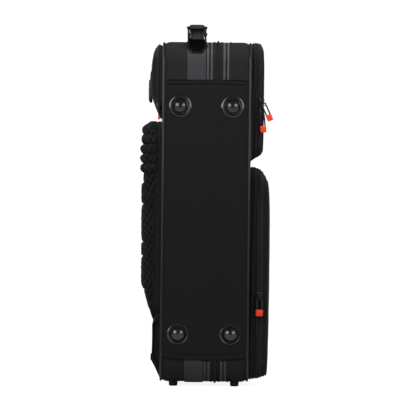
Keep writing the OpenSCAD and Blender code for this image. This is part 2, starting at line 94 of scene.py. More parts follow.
class Build:
    """Collects grids of points, in millimetres, into one mesh."""

    def __init__(self):
        self.v = []
        self.f = []

    def grid(self, p, wrap_u=False, wrap_v=False, cap_u=False):
        """Faces over rows of points, closed on themselves or capped where asked."""
        p = np.asarray(p, float)
        nu, nv = p.shape[:2]
        base = len(self.v)
        self.v.extend(map(tuple, p.reshape(-1, 3)))
        at = lambda i, j: base + (i % nu) * nv + (j % nv)
        for i in range(nu if wrap_u else nu - 1):
            for j in range(nv if wrap_v else nv - 1):
                self.f.append((at(i, j), at(i + 1, j), at(i + 1, j + 1), at(i, j + 1)))
        if cap_u:
            self.f.append(tuple(at(0, j) for j in range(nv)))
            self.f.append(tuple(at(nu - 1, j) for j in reversed(range(nv))))

    def solid(self, rows):
        """A closed body through rings of points, capped at both ends."""
        self.grid(rows, wrap_v=True, cap_u=True)

    def blocks(self, centre, along, out, across, size, taper=0.7):
        """Many small tapered blocks: size is (along, out, across), all arrays of N rows."""
        c, a, o, x = (np.asarray(q, float) for q in (centre, along, out, across))
        base = len(self.v)
        corners = []
        for so in (0, 1):
            k = taper if so else 1.0
            for sa, sx in ((-1, -1), (1, -1), (1, 1), (-1, 1)):
                corners.append(c + a * (sa * k * size[0] / 2) + o * (so * size[1])
                               + x * (sx * k * size[2] / 2))
        pts = np.stack(corners, 1)
        self.v.extend(map(tuple, pts.reshape(-1, 3)))
        for n in range(len(c)):
            b = base + 8 * n
            self.f.extend([(b + 4, b + 5, b + 6, b + 7), (b + 3, b + 2, b + 1, b)])
            for k in range(4):
                m = (k + 1) % 4
                self.f.append((b + k, b + m, b + 4 + m, b + 4 + k))

    def make(self, name, mat, body=None, slot=None, rep=(), sharp=40):
        """The object: smooth up to an angle, riding on a body, in place of the nodes it replaces."""
        me = bpy.data.meshes.new(name)
        me.from_pydata([(x * mm, y * mm, z * mm) for x, y, z in self.v], [], self.f)
        me.update()
        bm = bmesh.new()
        bm.from_mesh(me)
        bmesh.ops.remove_doubles(bm, verts=bm.verts, dist=1e-6)
        bmesh.ops.recalc_face_normals(bm, faces=bm.faces)
        bm.to_mesh(me)
        bm.free()
        o = bpy.data.objects.new(name, me)
        bpy.context.scene.collection.objects.link(o)
        o.data.materials.append(mat)
        me.polygons.foreach_set("use_smooth", [True] * len(me.polygons))
        me.set_sharp_from_angle(angle=math.radians(sharp))
        if rep:
            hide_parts(*rep)
        if body:
            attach(o, body)
        return o


def lathe(b, centre, profile, axis=(0, -1, 0), n=48):
    """A turned profile of (radius, height) about an axis."""
    ax = Vector(axis).normalized()
    u = ax.orthogonal().normalized()
    w = ax.cross(u)
    rows = []
    for r, h in profile:
        ring = []
        for k in range(n):
            t = 2 * math.pi * k / n
            q = Vector(centre) + ax * h + (u * math.cos(t) + w * math.sin(t)) * max(r, 1e-3)
            ring.append(tuple(q))
        rows.append(ring)
    b.solid(rows)


def tube(b, pts, r, n=10, closed=False):
    """A round bar along points."""
    p = np.asarray(pts, float)
    t = np.roll(p, -1, 0) - np.roll(p, 1, 0)
    if not closed:
        t[0], t[-1] = p[1] - p[0], p[-1] - p[-2]
    t /= np.linalg.norm(t, axis=1)[:, None]
    ref = np.array([0.0, 1.0, 0.0]) if abs(t[:, 1]).max() < 0.9 else np.array([1.0, 0.0, 0.0])
    u = np.cross(t, ref)
    u /= np.linalg.norm(u, axis=1)[:, None]
    w = np.cross(t, u)
    ang = np.arange(n) * 2 * math.pi / n
    rr = np.broadcast_to(r, (len(p),))
    rows = p[:, None, :] + rr[:, None, None] * (u[:, None, :] * np.cos(ang)[None, :, None]
                                               + w[:, None, :] * np.sin(ang)[None, :, None])
    b.grid(rows, wrap_u=closed, wrap_v=True, cap_u=not closed)


def loop_path(y0, y1, z0, z1, r, nc=14, step=10, stops=()):
    """A rounded rectangle in Y and Z from the middle of its -Y side, downwards. Rows: y, z, ny, nz."""
    zm = (z0 + z1) / 2
    out = []

    def line(a, b, n, extra=()):
        a, b = np.array(a, float), np.array(b, float)
        length = np.linalg.norm(b - a)
        ts = set(np.round(np.linspace(0, 1, max(2, int(length / step) + 1)), 6)[:-1])
        for s in extra:
            t = (s - a[1]) / (b[1] - a[1])
            if 0 < t < 1:
                ts = {q for q in ts if q == 0 or abs(q - t) * length > step * 0.3} | {t}
        for t in sorted(ts):
            q = a + (b - a) * t
            out.append((q[0], q[1], n[0], n[1]))

    def corner(cy, cz, a0, a1):
        """Adds the arc round (cy, cz) from a0 towards a1, without its end."""
        for k in range(nc):
            a = math.radians(a0 + (a1 - a0) * k / nc)
            out.append((cy + r * math.cos(a), cz + r * math.sin(a), math.cos(a), math.sin(a)))

    line((y0, zm), (y0, z0 + r), (-1, 0), stops)
    corner(y0 + r, z0 + r, 180, 270)
    line((y0 + r, z0), (y1 - r, z0), (0, -1))
    corner(y1 - r, z0 + r, 270, 360)
    line((y1, z0 + r), (y1, z1 - r), (1, 0))
    corner(y1 - r, z1 - r, 0, 90)
    line((y1 - r, z1), (y0 + r, z1), (0, 1))
    corner(y0 + r, z1 - r, 90, 180)
    line((y0, z1 - r), (y0, zm), (-1, 0), stops)
    return np.array(out)


BODY = loop_path(SY, FY, BZ, TZ, R, stops=(SEAM_LO, SEAM_HI))
on_spine = abs(BODY[:, 0] - SY) < 1e-6
first = [i for i in range(len(BODY)) if on_spine[i] and BODY[i, 1] <= SEAM_LO + 1e-6][0]
last = [i for i in range(len(BODY)) if i > first + 20 and on_spine[i] and BODY[i, 1] >= SEAM_HI - 1e-6][-1]
OPEN = BODY[first:last + 1]


def arc(path):
    """Distance along a path at each of its points."""
    d = np.linalg.norm(np.diff(path[:, :2], axis=0), axis=1)
    return np.concatenate([[0], np.cumsum(d)])


TOP_LIFT = 0.9  # slack of the cloth over the top


def sweep(b, prof, path, closed=False, mod=None):
    """A closed profile of (x, out) carried round a path in Y and Z."""
    prof = np.asarray(prof, float)
    s = arc(path)
    off = np.repeat(prof[None, :, 1], len(path), 0) + TOP_LIFT * np.clip(path[:, 3:4], 0, 1)
    xs = np.repeat(prof[None, :, 0], len(path), 0)
    if mod:
        xs, off = mod(xs, off, s[:, None])
    y, z = (path[:, None, k] + off * path[:, None, k + 2] for k in (0, 1))
    p = np.stack([xs, y, z], 2)
    b.grid(p, wrap_u=closed, wrap_v=True, cap_u=not closed)


def along(path, pitch, start=0.0):
    """Points every pitch along a path: position, tangent and outward normal as 3-D rows at x = 0."""
    s = arc(path)
    q = np.arange(start, s[-1], pitch)
    y, z = np.interp(q, s, path[:, 0]), np.interp(q, s, path[:, 1])
    ny, nz = np.interp(q, s, path[:, 2]), np.interp(q, s, path[:, 3])
    m = np.hypot(ny, nz)
    ny, nz = ny / m, nz / m
    zero = np.zeros_like(q)
    lift = TOP_LIFT * np.clip(nz, 0, 1)
    y, z = y + lift * ny, z + lift * nz
    return (np.stack([zero, y, z], 1), np.stack([zero, -nz, ny], 1), np.stack([zero, ny, nz], 1))


def soft(x, scale, seed=0.0):
    """Smooth pseudo-random waves between -1 and 1."""
    return (np.sin(x / scale + seed) + np.sin(x / scale * 1.73 + 2.1 * seed + 1)
            + np.sin(x / scale * 2.91 + 0.7 * seed + 2)) / 3


def ramp(x, a, b):
    """A smooth step from 0 at a to 1 at b."""
    t = np.clip((np.asarray(x, float) - a) / (b - a), 0, 1)
    return t * t * (3 - 2 * t)


def bump(x, c, w):
    """A bell of height 1 at c, w wide."""
    return np.exp(-((np.asarray(x, float) - c) / w) ** 2)


# ---------- materials ----------

def nodes_of(name):
    """A new material with its node tree and its Principled node."""
    m = bpy.data.materials.new(name)
    m.use_nodes = True
    t = m.node_tree
    bsdf = t.nodes["Principled BSDF"]
    return m, t, bsdf


def add(t, kind, **values):
    """A new node with its settings or inputs set by name."""
    n = t.nodes.new(kind)
    for k, v in values.items():
        if hasattr(n, k):
            setattr(n, k, v)
        else:
            n.inputs[k].default_value = v
    return n


def math_node(t, op, a, b=None):
    """A math node of the tree t, fed with a and b."""
    n = t.nodes.new("ShaderNodeMath")
    n.operation = op
    for i, v in enumerate((a, b)):
        if v is None:
            continue
        if isinstance(v, (int, float)):
            n.inputs[i].default_value = v
        else:
            t.links.new(v, n.inputs[i])
    return n.outputs[0]


def noise_tex(t, vector, scale, detail=3.0, rough=0.55):
    """A noise texture of the tree t that reads vector."""
    n = t.nodes.new("ShaderNodeTexNoise")
    n.inputs["Scale"].default_value = scale
    n.inputs["Detail"].default_value = detail
    n.inputs["Roughness"].default_value = rough
    t.links.new(vector, n.inputs["Vector"])
    return n.outputs["Fac"]


def tint(t, fac, dark, light):
    """A colour between dark and light."""
    n = t.nodes.new("ShaderNodeMix")
    n.data_type = "RGBA"
    t.links.new(fac, n.inputs["Factor"])
    n.inputs["A"].default_value = (*dark, 1)
    n.inputs["B"].default_value = (*light, 1)
    return n.outputs["Result"]


def waves(t, vector, pitch, axes):
    """Thread pattern: products of sine waves along pairs of axes, 0 to 1."""
    sep = t.nodes.new("ShaderNodeSeparateXYZ")
    t.links.new(vector, sep.inputs[0])
    k = 2 * math.pi / pitch
    s = {a: math_node(t, "SINE", math_node(t, "MULTIPLY", sep.outputs[a], k)) for a in "XYZ"}
    total = None
    for pair in axes:
        v = s[pair[0]] if len(pair) == 1 else math_node(t, "MULTIPLY", s[pair[0]], s[pair[1]])
        total = v if total is None else math_node(t, "ADD", total, v)
    return math_node(t, "ADD", math_node(t, "MULTIPLY", total, 0.5), 0.5)


def cloth_mat(name, col, pitch=0.0014, axes=("XZ", "YZ", "XY"), bump_h=0.5, rough=0.82, sheen=0.03,
              spec=0.18, vary=0.22, thread=0.35, coarse=18):
    """Woven cloth: threads, fine fuzz and slow unevenness in colour, roughness and relief."""
    m, t, b = nodes_of(name)
    pos = add(t, "ShaderNodeTexCoord").outputs["Object"]
    thr = waves(t, pos, pitch, axes)
    big = noise_tex(t, pos, coarse, 4)
    fine = noise_tex(t, pos, 900, 2)
    threads = math_node(t, "ADD", math_node(t, "MULTIPLY", thr, thread), math_node(t, "MULTIPLY", fine, 0.25))
    fac = math_node(t, "ADD", math_node(t, "MULTIPLY", big, 0.6), threads)
    fac = math_node(t, "SUBTRACT", fac, 0.15)
    c = np.array(col)
    t.links.new(tint(t, fac, c * (1 - vary), c * (1 + vary)), b.inputs["Base Color"])
    r = math_node(t, "ADD", math_node(t, "MULTIPLY", big, 0.16), rough - 0.08)
    t.links.new(r, b.inputs["Roughness"])
    h = math_node(t, "ADD", math_node(t, "MULTIPLY", thr, 0.7), math_node(t, "MULTIPLY", fine, 0.5))
    bm = add(t, "ShaderNodeBump", Strength=bump_h, Distance=0.0004)
    t.links.new(h, bm.inputs["Height"])
    t.links.new(bm.outputs[0], b.inputs["Normal"])
    b.inputs["Sheen Weight"].default_value = sheen
    b.inputs["Sheen Roughness"].default_value = 0.5
    b.inputs["Specular IOR Level"].default_value = spec
    return m


def hard_mat(name, col, rough=0.35, grain=0.0002, scale=600, metal=0.0, coat=0.0, spec=0.5, vary=0.25,
             wear=0.25):
    """Moulded or painted surface with a fine grain and uneven wear."""
    m, t, b = nodes_of(name)
    pos = add(t, "ShaderNodeTexCoord").outputs["Object"]
    n1 = noise_tex(t, pos, scale, 3)
    n2 = noise_tex(t, pos, 40, 5, 0.65)
    c = np.array(col)
    t.links.new(tint(t, n2, c * (1 - vary), c * (1 + vary)), b.inputs["Base Color"])
    r = math_node(t, "ADD", math_node(t, "MULTIPLY", n2, wear), rough - wear / 2)
    t.links.new(r, b.inputs["Roughness"])
    bm = add(t, "ShaderNodeBump", Strength=0.35, Distance=grain)
    t.links.new(n1, bm.inputs["Height"])
    t.links.new(bm.outputs[0], b.inputs["Normal"])
    b.inputs["Metallic"].default_value = metal
    b.inputs["Coat Weight"].default_value = coat
    b.inputs["Coat Roughness"].default_value = 0.12
    b.inputs["Specular IOR Level"].default_value = spec
    return m


SHELL = cloth_mat("shell_weave", (0.0140, 0.0142, 0.0152), pitch=0.0016, bump_h=0.55)
SPINE = cloth_mat("spine_weave", (0.0088, 0.0089, 0.0096), pitch=0.0011, bump_h=0.35, rough=0.85,
                  vary=0.16, coarse=7)
POCKET = cloth_mat("pocket_weave", (0.0110, 0.0110, 0.0119), pitch=0.0014, bump_h=0.5, sheen=0.05)
# Lit and shaded copies of the pocket weave: painted light for the upper pocket, painted shade for the lower
# one.
POCKET_PAINTED_LIT = cloth_mat("pocket_weave_painted_lit", (0.0150, 0.0150, 0.0161), pitch=0.0014, bump_h=0.5, sheen=0.05)
POCKET_PAINTED_SHADE = cloth_mat("pocket_weave_painted_shade", (0.0092, 0.0092, 0.0099), pitch=0.0014, bump_h=0.5, sheen=0.05)
WEB = cloth_mat("ribbed_webbing", (0.037, 0.0375, 0.040), pitch=0.0022, axes=("X", "YZ"), bump_h=0.9,
                rough=0.7,
                sheen=0.12, thread=0.5, coarse=40)
TAPE = cloth_mat("zip_tape_twill", (0.060, 0.061, 0.065), pitch=0.0012, axes=("X", "YZ", "XZ"), bump_h=0.5,
                 rough=0.62, sheen=0.15, thread=0.4, coarse=60)
FLAP_TAPE = cloth_mat("pocket_zip_tape_twill", (0.017, 0.0172, 0.0185), pitch=0.0012,
                      axes=("X", "YZ", "XZ"), bump_h=0.5,
                      rough=0.7, sheen=0.08, thread=0.4, coarse=60)
# Light grey cords on the handle links' edges: painted highlights.
LINK_HIGHLIGHT = cloth_mat("painted_link_highlight", (0.20, 0.20, 0.21), pitch=0.0012, bump_h=0.4, rough=0.6, sheen=0.1)
COIL = hard_mat("zip_coil_nylon", (0.020, 0.020, 0.022), rough=0.45, grain=0.0001, spec=0.35)
PIPE = hard_mat("piping_vinyl", (0.014, 0.014, 0.015), rough=0.30, grain=0.00015, scale=1500, coat=0.3)
CORD = hard_mat("ridge_cord_vinyl", (0.010, 0.010, 0.011), rough=0.6, grain=0.00015, scale=1500, spec=0.25)
GLOSS = hard_mat("stud_gloss", (0.0035, 0.0035, 0.004), rough=0.25, grain=0.00003, scale=300, coat=0.6,
                 wear=0.06, spec=1.0)
RUBBER = hard_mat("foot_rubber", (0.012, 0.012, 0.012), rough=0.75, grain=0.0003, spec=0.3)
BRACKET = hard_mat("bracket_nylon", (0.006, 0.006, 0.007), rough=0.42, grain=0.0002, scale=900)
# Near-black nylon of the brackets' bosses; the same material paints shade in the bands across the grips'
# ends.
BOSS_AND_SHADE = hard_mat("bracket_boss_nylon_and_painted_shade", (0.0012, 0.0012, 0.0014), rough=0.6, grain=0.0002, scale=900, spec=0.08)
GRIP = hard_mat("grip_soft", (0.020, 0.020, 0.022), rough=0.55, grain=0.0004, scale=500, spec=0.4)
PAD = cloth_mat("pad_airmesh", (0.0105, 0.0105, 0.0112), pitch=0.0032, bump_h=1.0, rough=0.9, sheen=0.06,
                vary=0.6,
                thread=0.6, coarse=30)
GUSSET = cloth_mat("pad_knit", (0.0145, 0.0145, 0.0155), pitch=0.0009, bump_h=0.3, rough=0.8, sheen=0.12,
                   coarse=12)
# Near-black cords in stitch grooves, beside the zips' hems and under the spine panel's edges: painted shade.
PAINTED_SHADE = cloth_mat("painted_seam_shade", (0.0022, 0.0022, 0.0025), pitch=0.0006, bump_h=0.4, rough=0.7)
THREAD = cloth_mat("seam_thread", (0.004, 0.004, 0.0045), pitch=0.0006, bump_h=0.4, rough=0.5)
LINING = cloth_mat("lining_satin", (0.050, 0.052, 0.056), pitch=0.0010, bump_h=0.3, rough=0.55, sheen=0.1,
                   coarse=9)
BOARD = cloth_mat("lining_felt", (0.042, 0.043, 0.046), pitch=0.0018, bump_h=0.5, rough=0.9, sheen=0.2)
BINDING = cloth_mat("binding_tape", (0.020, 0.020, 0.022), pitch=0.0012, axes=("X", "YZ"), bump_h=0.6,
                    rough=0.7)
METAL = hard_mat("slider_enamel", (0.030, 0.030, 0.032), rough=0.24, metal=0.6, coat=0.4, grain=0.00006)
STEEL = hard_mat("rivet_steel", (0.55, 0.56, 0.57), rough=0.3, metal=1.0, vary=0.1)
PATCH = hard_mat("patch_rubber", (0.028, 0.028, 0.030), rough=0.5, grain=0.0003)
LOOP = hard_mat("pull_loop", (0.010, 0.010, 0.011), rough=0.42, grain=0.0001)
ORANGE = hard_mat("pull_tip_orange", (0.80, 0.062, 0.022), rough=0.5, grain=0.00012, vary=0.12, spec=0.18)


# ---------- shells ----------

def crown(x):
    """How far the walls drop towards the piped edges."""
    d = np.minimum(np.asarray(x, float) - RX, FX - np.asarray(x, float))
    return -5.0 * (1 - np.clip(d / 14.0, 0, 1)) ** 2.2


def wrinkle(xs, off, s):
    """Slow unevenness of the outer cloth, none at the piped edges."""
    d = np.minimum(xs - RX, FX - xs)
    amp = 0.45 * np.clip(d / 15, 0, 1)
    outer = off > -3.4 + crown(xs)
    return xs, off + np.where(outer, amp * soft(s + xs * 0.7, 23.0, 1.3) * soft(xs + s * 0.2, 17.0, 0.4), 0)


def skin_profile(x0, x1, hem0=False, hem1=False, lift=0.0, n=26, thick=2.0):
    """Outer curve, rolled hems where an edge meets a zip, and the inner return."""
    xs = np.linspace(x0, x1, n)
    top = [(x, crown(x) + lift
            + (0.7 * bump(x, x1 - 2.2, 1.8) if hem1 else 0) + (0.7 * bump(x, x0 + 2.2, 1.8) if hem0 else 0)
            - (0.55 * bump(x, x1 - 5.4, 0.7) if hem1 else 0) - (0.55 * bump(x, x0 + 5.4, 0.7) if hem0 else 0))
           for x in xs]
    return top + [(x1, crown(x1) + lift - thick), (x0, crown(x0) + lift - thick)]


b = Build()
sweep(b, skin_profile(RX + 1.8, ZIP1 - ZH + 0.6, hem1=True, n=46), OPEN, mod=wrinkle)
b.make("rear_shell_cloth", SHELL, "rear_shell", "shell_fabric", ["rear_skin"])

b = Build()
sweep(b, skin_profile(ZIP2 + ZH - 0.6, FX - 1.8, hem0=True, n=30), OPEN, mod=wrinkle)
b.make("front_shell_cloth", SHELL, "front_shell", "shell_fabric", ["front_skin"])

b = Build()
for x0, x1, h0, h1 in ((ZIP1 + ZH - 0.6, RIDGE - 0.6, True, False),
                       (RIDGE + 0.6, ZIP2 - ZH + 0.6, False, True)):
    sweep(b, skin_profile(x0, x1, hem0=h0, hem1=h1, n=16), OPEN)
b.make("middle_band_cloth", SHELL, "middle_leaf", "shell_fabric", ["band_skin"])


def ring_tube(b, x, r, off, path, closed=False, n=12):
    """A round cord carried round a path."""
    a = np.arange(n) * 2 * math.pi / n
    sweep(b, np.stack([x + r * np.cos(a), off + r * np.sin(a)], 1), path, closed)


# piping cords with their stitched flange
for name, x, body, node, side in (("rear_piping_cord", RX + 0.2, "rear_shell", "rear_piping", 1),
                                  ("front_piping_cord", FX - 0.2, "front_shell", "front_piping", -1)):
    b = Build()
    ring_tube(b, x, 2.3, -2.9, BODY, True, 16)
    sweep(b, [(x - 0.6, -4.6), (x + 0.6, -4.6), (x + 0.6, -7.5), (x - 0.6, -7.5)], BODY, True)
    b.make(name, PIPE, body, "piping", [node])
b = Build()
ring_tube(b, RIDGE, 1.9, 0.9, OPEN, False, 14)
b.make("ridge_piping_cord", CORD, "middle_leaf", "piping", ["ridge_piping"])


# ---------- zips of the two shells ----------

def zip_ring(tag, xc, body_l, body_r, node_l, node_r, path=OPEN, lift=-0.3):
    """A zip of a shell: on each side a tape, its half of the coil on a lapped cord, and a near-black cord
    beside the hem, painted as the shade of the gap between hem and tape.
    """
    for side, body, node in ((-1, body_l, node_l), (1, body_r, node_r)):
        a, c = xc + side * ZH, xc + side * 1.3
        xs = np.linspace(a, c, 8)
        top = [(x, lift + 0.03 * math.sin(k * 2.2)) for k, x in enumerate(xs)]
        b = Build()
        sweep(b, top + [(c, lift - 1.0), (a, lift - 1.0)], path)
        b.make(f"{tag}_tape_{node.split('_')[-2]}", TAPE, body, "zip_tape", [node])
        p, t, n = along(path, 3.3, 1.0)
        x = np.array([1.0, 0, 0])
        b = Build()
        b.blocks(p + x * (xc + side * 0.95) + n * (lift - 0.9), t, n, np.broadcast_to(x, p.shape),
                 (2.0, 1.5, 1.5), 0.7)
        e0, e1, low = (xc - 2.2, xc + 0.5, -0.95) if side < 0 else (xc - 0.5, xc + 2.2, -1.45)
        sweep(b, [(e0, lift + low), (e1, lift + low), (e1, lift + low - 0.4), (e0, lift + low - 0.4)], path)
        b.make(f"{tag}_coil_{node.split('_')[-2]}", COIL, body, "zip_tape", sharp=60)
        b = Build()
        # a near-black cord beside the hem: painted shade of the gap between hem and tape
        ring_tube(b, xc + side * (ZH - 0.5), 0.55, lift + 0.15, path, False, 6)
        b.make(f"{tag}_hem_shade_cord_{node.split('_')[-2]}", PAINTED_SHADE, body, "zip_tape", sharp=60)


zip_ring("main_zip", ZIP1, "rear_shell", "middle_leaf", "main_zip_rear_tape", "main_zip_front_tape")
zip_ring("front_zip", ZIP2, "middle_leaf", "front_shell", "front_zip_rear_tape", "front_zip_front_tape")


# ---------- webbing, flat on the rear shell ----------

b = Build()
xs = np.linspace(WEB_LO, WEB_HI, 36)
top = [(x, 0.9 + 0.55 * (1 - abs((x - HX) / 17.0) ** 6) + 0.12 * math.sin(x * 2.9)) for x in xs]
sweep(b, top + [(WEB_HI, 0.0), (WEB_LO, 0.0)], OPEN)
b.make("carry_web_band", WEB, "rear_shell", "webbing", ["carry_webbing"])


# ---------- spine panel ----------

def panel_top(x):
    """Height of the spine panel's upper edge, dipping at its ends."""
    return SEAM_HI - 1.0 - 1.8 * (x / 79.0) ** 2


def panel_bottom(x):
    """Height of the spine panel's lower edge, rising at its ends."""
    return SEAM_LO - 2.2 + 5.2 * (x / 79.0) ** 2


def spine_lift(x, z):
    """Height of the panel above the spine plane: hemmed ends, seam grooves, creases and slow waves."""
    up, down = panel_top(x) - z, z - panel_bottom(x)
    h = crown(x) + 1.5 * ramp(up, -0.3, 0.9) * ramp(down, -0.3, 0.9)
    h += 0.6 * bump(up, 3.8, 2.4) - 1.3 * bump(up, 8.0, 1.1) - 0.9 * bump(up, -0.5, 0.7)
    h += 0.6 * bump(down, 4.0, 2.6) - 1.3 * bump(down, 8.6, 1.1)
    h -= 0.55 * (bump(x, FOLD1, 1.4) + bump(x, FOLD2, 1.4))
    inner = ramp(up, 8, 30) * ramp(down, 8, 30)
    h += inner * (0.5 * soft(z, 55.0, 0.8) + 0.35 * soft(x + 0.15 * z, 14.0, 2.2))
    return h


def spine_sheet(name, x0, x1, body, rep=(), blend=None, nx=40):
    """A stretch of the spine's cloth, riding on one body, or fixed in place on none when blend is given."""
    xs = np.linspace(x0, x1, nx)
    t = np.concatenate([np.linspace(0, 0.03, 12), np.linspace(0.03, 0.97, 130)[1:-1],
                        np.linspace(0.97, 1, 12)])
    X, T = np.meshgrid(xs, t, indexing="ij")
    low = np.minimum(SEAM_LO, panel_bottom(X) - 0.3)
    Z = low + (SEAM_HI - low) * T
    H = spine_lift(X, Z)
    outer = np.stack([X, SY - H, Z], 2)
    inner = np.stack([X, SY - H + 1.3, Z], 2)
    b = Build()
    b.grid(np.concatenate([outer, inner[:, ::-1]], 1), wrap_v=True, cap_u=True)
    o = b.make(name, SPINE, None if blend else body, "spine_fabric", rep, sharp=50)
    if blend:
        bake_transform(o)
    return o


spine_sheet("spine_panel_left", RX + 1.8, FOLD1 - BEND, "rear_shell", ["spine_panel_rear"], nx=60)
spine_sheet("spine_panel_right", FOLD2 + BEND, FX - 1.8, "front_shell", ["spine_panel_front"], nx=36)
for tag, x0, x1, fold, a, c in (("left", FOLD1 - BEND, RIDGE, FOLD1, "rear_shell", "middle_leaf"),
                                ("right", RIDGE, FOLD2 + BEND, FOLD2, "middle_leaf", "front_shell")):
    ends = [((fold + d) * mm, SY * mm, MID_Z * mm) for d in (-BEND, BEND)]
    spine_sheet(f"spine_fold_{tag}", x0, x1, None, nx=14, blend=(a, c, *ends))


def stitches(name, x0, x1, zf, body, pitch=3.6):
    """A row of stitches at height zf(x), a near-black cord in its groove painted as shade, and another under
    the panel's edge painted as its shadow.
    """
    x = np.arange(x0, x1, pitch)
    z = np.array([zf(q) for q in x])
    h = spine_lift(x, z)
    c = np.stack([x, SY - h + 0.25, z], 1)
    one = np.ones_like(x)
    b = Build()
    b.blocks(c, np.stack([one, 0 * one, 0 * one], 1), np.stack([0 * one, -one, 0 * one], 1),
             np.stack([0 * one, 0 * one, one], 1), (2.7, 0.75, 0.9), 0.6)
    b.make(name, THREAD, body, "spine_fabric", sharp=80)
    b = Build()
    xs = np.linspace(x0, x1, 24)
    # painted shade: a near-black cord along the stitch groove
    tube(b, [(q, SY - spine_lift(q, zf(q)) + 0.1, zf(q)) for q in xs], 0.62, 6)
    edge = (lambda q: panel_top(q) + 0.5) if zf(0) > MID_Z else (lambda q: panel_bottom(q) - 0.4)
    # painted shadow: a near-black cord under the panel's edge
    tube(b, [(q, SY - crown(q) - 1.0, edge(q)) for q in xs], 0.75, 6)
    return b.make(name + "_groove_shade_cord", PAINTED_SHADE, body, "spine_fabric", sharp=80)


for tag, body, x0, x1 in (("rear", "rear_shell", RX + 6, FOLD1 - BEND),
                          ("front", "front_shell", FOLD2 + BEND, FX - 6)):
    stitches(f"spine_stitch_top_{tag}", x0, x1, lambda x: panel_top(x) - 8.0, body)
    stitches(f"spine_stitch_foot_{tag}", x0, x1, lambda x: panel_bottom(x) + 8.6, body)

# domed studs
DOME_H, DOME_R = 9.1, 15.0
STUD = [(r, DOME_H - DOME_R + math.sqrt(DOME_R ** 2 - r * r))
        for r in (0.01, 2.2, 4.4, 6.6, 8.6, 10.4, 11.9, 13.0, 13.6)]
STUD += [(14.0, 0.2), (14.6, -0.1), (15.8, -0.1), (16.5, 0.2), (17.1, 0.8), (17.7, 0.9), (18.3, 0.5),
         (19.6, 0.3), (21.5, -0.6), (0.01, -0.6)]
for tag, node, body in (("rear", "spine_studs_rear", "rear_shell"),
                        ("front", "spine_studs_front", "front_shell")):
    lo, hi = span(node)
    x = (lo[0] + hi[0]) / 2
    b = Build()
    for z in (lo[2] + 20, hi[2] - 20):
        lathe(b, (x, SY - 1.1, z), STUD, n=64)
    b.make(f"domed_studs_{tag}", GLOSS, body, "stud_plastic", [node], sharp=50)


# ---------- feet ----------

def foot(b, x, y, w=16.0, l=44.0):
    """A rubber foot with rounded corners that narrows towards the floor."""
    rows = []
    for z, k in ((BZ + 1.5, 1.0), (3.0, 1.0), (1.2, 0.94), (0.3, 0.86), (0.0, 0.80)):
        ring = []
        for a in np.arange(48) * 2 * math.pi / 48:
            c, s = math.cos(a), math.sin(a)
            e = (abs(c) ** 3.2 + abs(s) ** 3.2) ** (-1 / 3.2)
            ring.append((x + w / 2 * k * c * e, y + (l / 2 - w / 2 * (1 - k)) * s * e, z))
        rows.append(ring)
    b.solid(rows)


for tag, node, body in (("rear", "rear_feet", "rear_shell"), ("front", "front_feet", "front_shell")):
    lo, hi = span(node)
    b = Build()
    for y in (lo[1] + 22, hi[1] - 22):
        foot(b, (lo[0] + hi[0]) / 2, y)
    b.make(f"{tag}_foot_pair", RUBBER, body, "foot_rubber", [node], sharp=35)


# ---------- handles ----------

# Places on the handles: x across, u along from the near end, w out from the wall.

def top_at(x, u, w):
    return HX + x, SY + u, TZ + w


side_lo, side_hi = span("side_brackets")


def side_at(x, u, w):
    return HX + x, FY + w, side_lo[2] + u


def far_top(x, u, w):
    return HX + x, FY - u, TZ + w


def far_side(x, u, w):
    return HX + x, FY + w, side_hi[2] - u


CHEEK = [(6, 0), (10, 17.5), (15, 23.8), (34, 23.8), (44, 17.5), (56, 0)]
CHEEK_IN, CHEEK_OUT = 14.0, 17.0
PIN_U, PIN_W, TRAVEL = 22.2, 21.5, 14.0


def resample(poly, centre, n=64):
    """A closed polygon as n points at even angles about a centre inside it."""
    p = np.array(poly, float)
    out = []
    for k in range(n):
        a = 2 * math.pi * k / n
        d = np.array([math.cos(a), math.sin(a)])
        best = None
        for i in range(len(p)):
            q, e = p[i] - centre, p[(i + 1) % len(p)] - p[i]
            den = d[0] * e[1] - d[1] * e[0]
            if abs(den) < 1e-9:
                continue
            t = (q[0] * e[1] - q[1] * e[0]) / den
            v = (q[0] * d[1] - q[1] * d[0]) / den
            if t > 0 and -1e-6 <= v <= 1 + 1e-6 and (best is None or t < best):
                best = t
        out.append(centre + d * best)
    return np.array(out)


def cheek(b, at, u0, w0, side):
    """One side plate of a bracket, with the slot that the grip's pin rides in."""
    centre = np.array([PIN_U, PIN_W - TRAVEL / 2])
    outer = resample(CHEEK, centre)
    slot = []
    for d in outer - centre:
        a = math.atan2(d[1], d[0])
        half = TRAVEL / 2
        c, s = math.cos(a), math.sin(a)
        r = 2.7
        slot.append((r * c, math.copysign(half, s) + r * s) if abs(s) > 0.25 else
                    (math.copysign(r, c), np.clip(math.tan(a) * abs(r) * math.copysign(1, c), -half, half)))
    slot = np.array(slot) + centre
    lean = lambda w: 1.0 * ramp(w, 21, 23.8)

    def row(ring, x):
        return [at(side * (x - (lean(w) if x > CHEEK_IN else 0)), u + u0, w + w0) for u, w in ring]

    rim = centre + (outer - centre) * 0.93
    rows = [row(slot, CHEEK_IN), row(slot, CHEEK_OUT), row(rim, CHEEK_OUT + 0.25), row(outer, CHEEK_OUT),
            row(outer, CHEEK_IN)]
    b.grid(np.array(rows), wrap_u=True, wrap_v=True)


def corner_line(a0, y_end, n=22, m=12):
    """The top corner's outline from an angle up to a stretch of the top. Rows: y, z, ny, nz."""
    a = np.radians(np.linspace(a0, 90, n))
    y = np.concatenate([SY + R - R * np.cos(a), np.linspace(SY + R, SY + y_end, m)[1:]])
    z = np.concatenate([TZ - R + R * np.sin(a), np.full(m - 1, TZ)])
    ny = np.concatenate([-np.cos(a), np.zeros(m - 1)])
    nz = np.concatenate([np.sin(a), np.ones(m - 1)])
    return np.stack([y, z, ny, nz], 1)


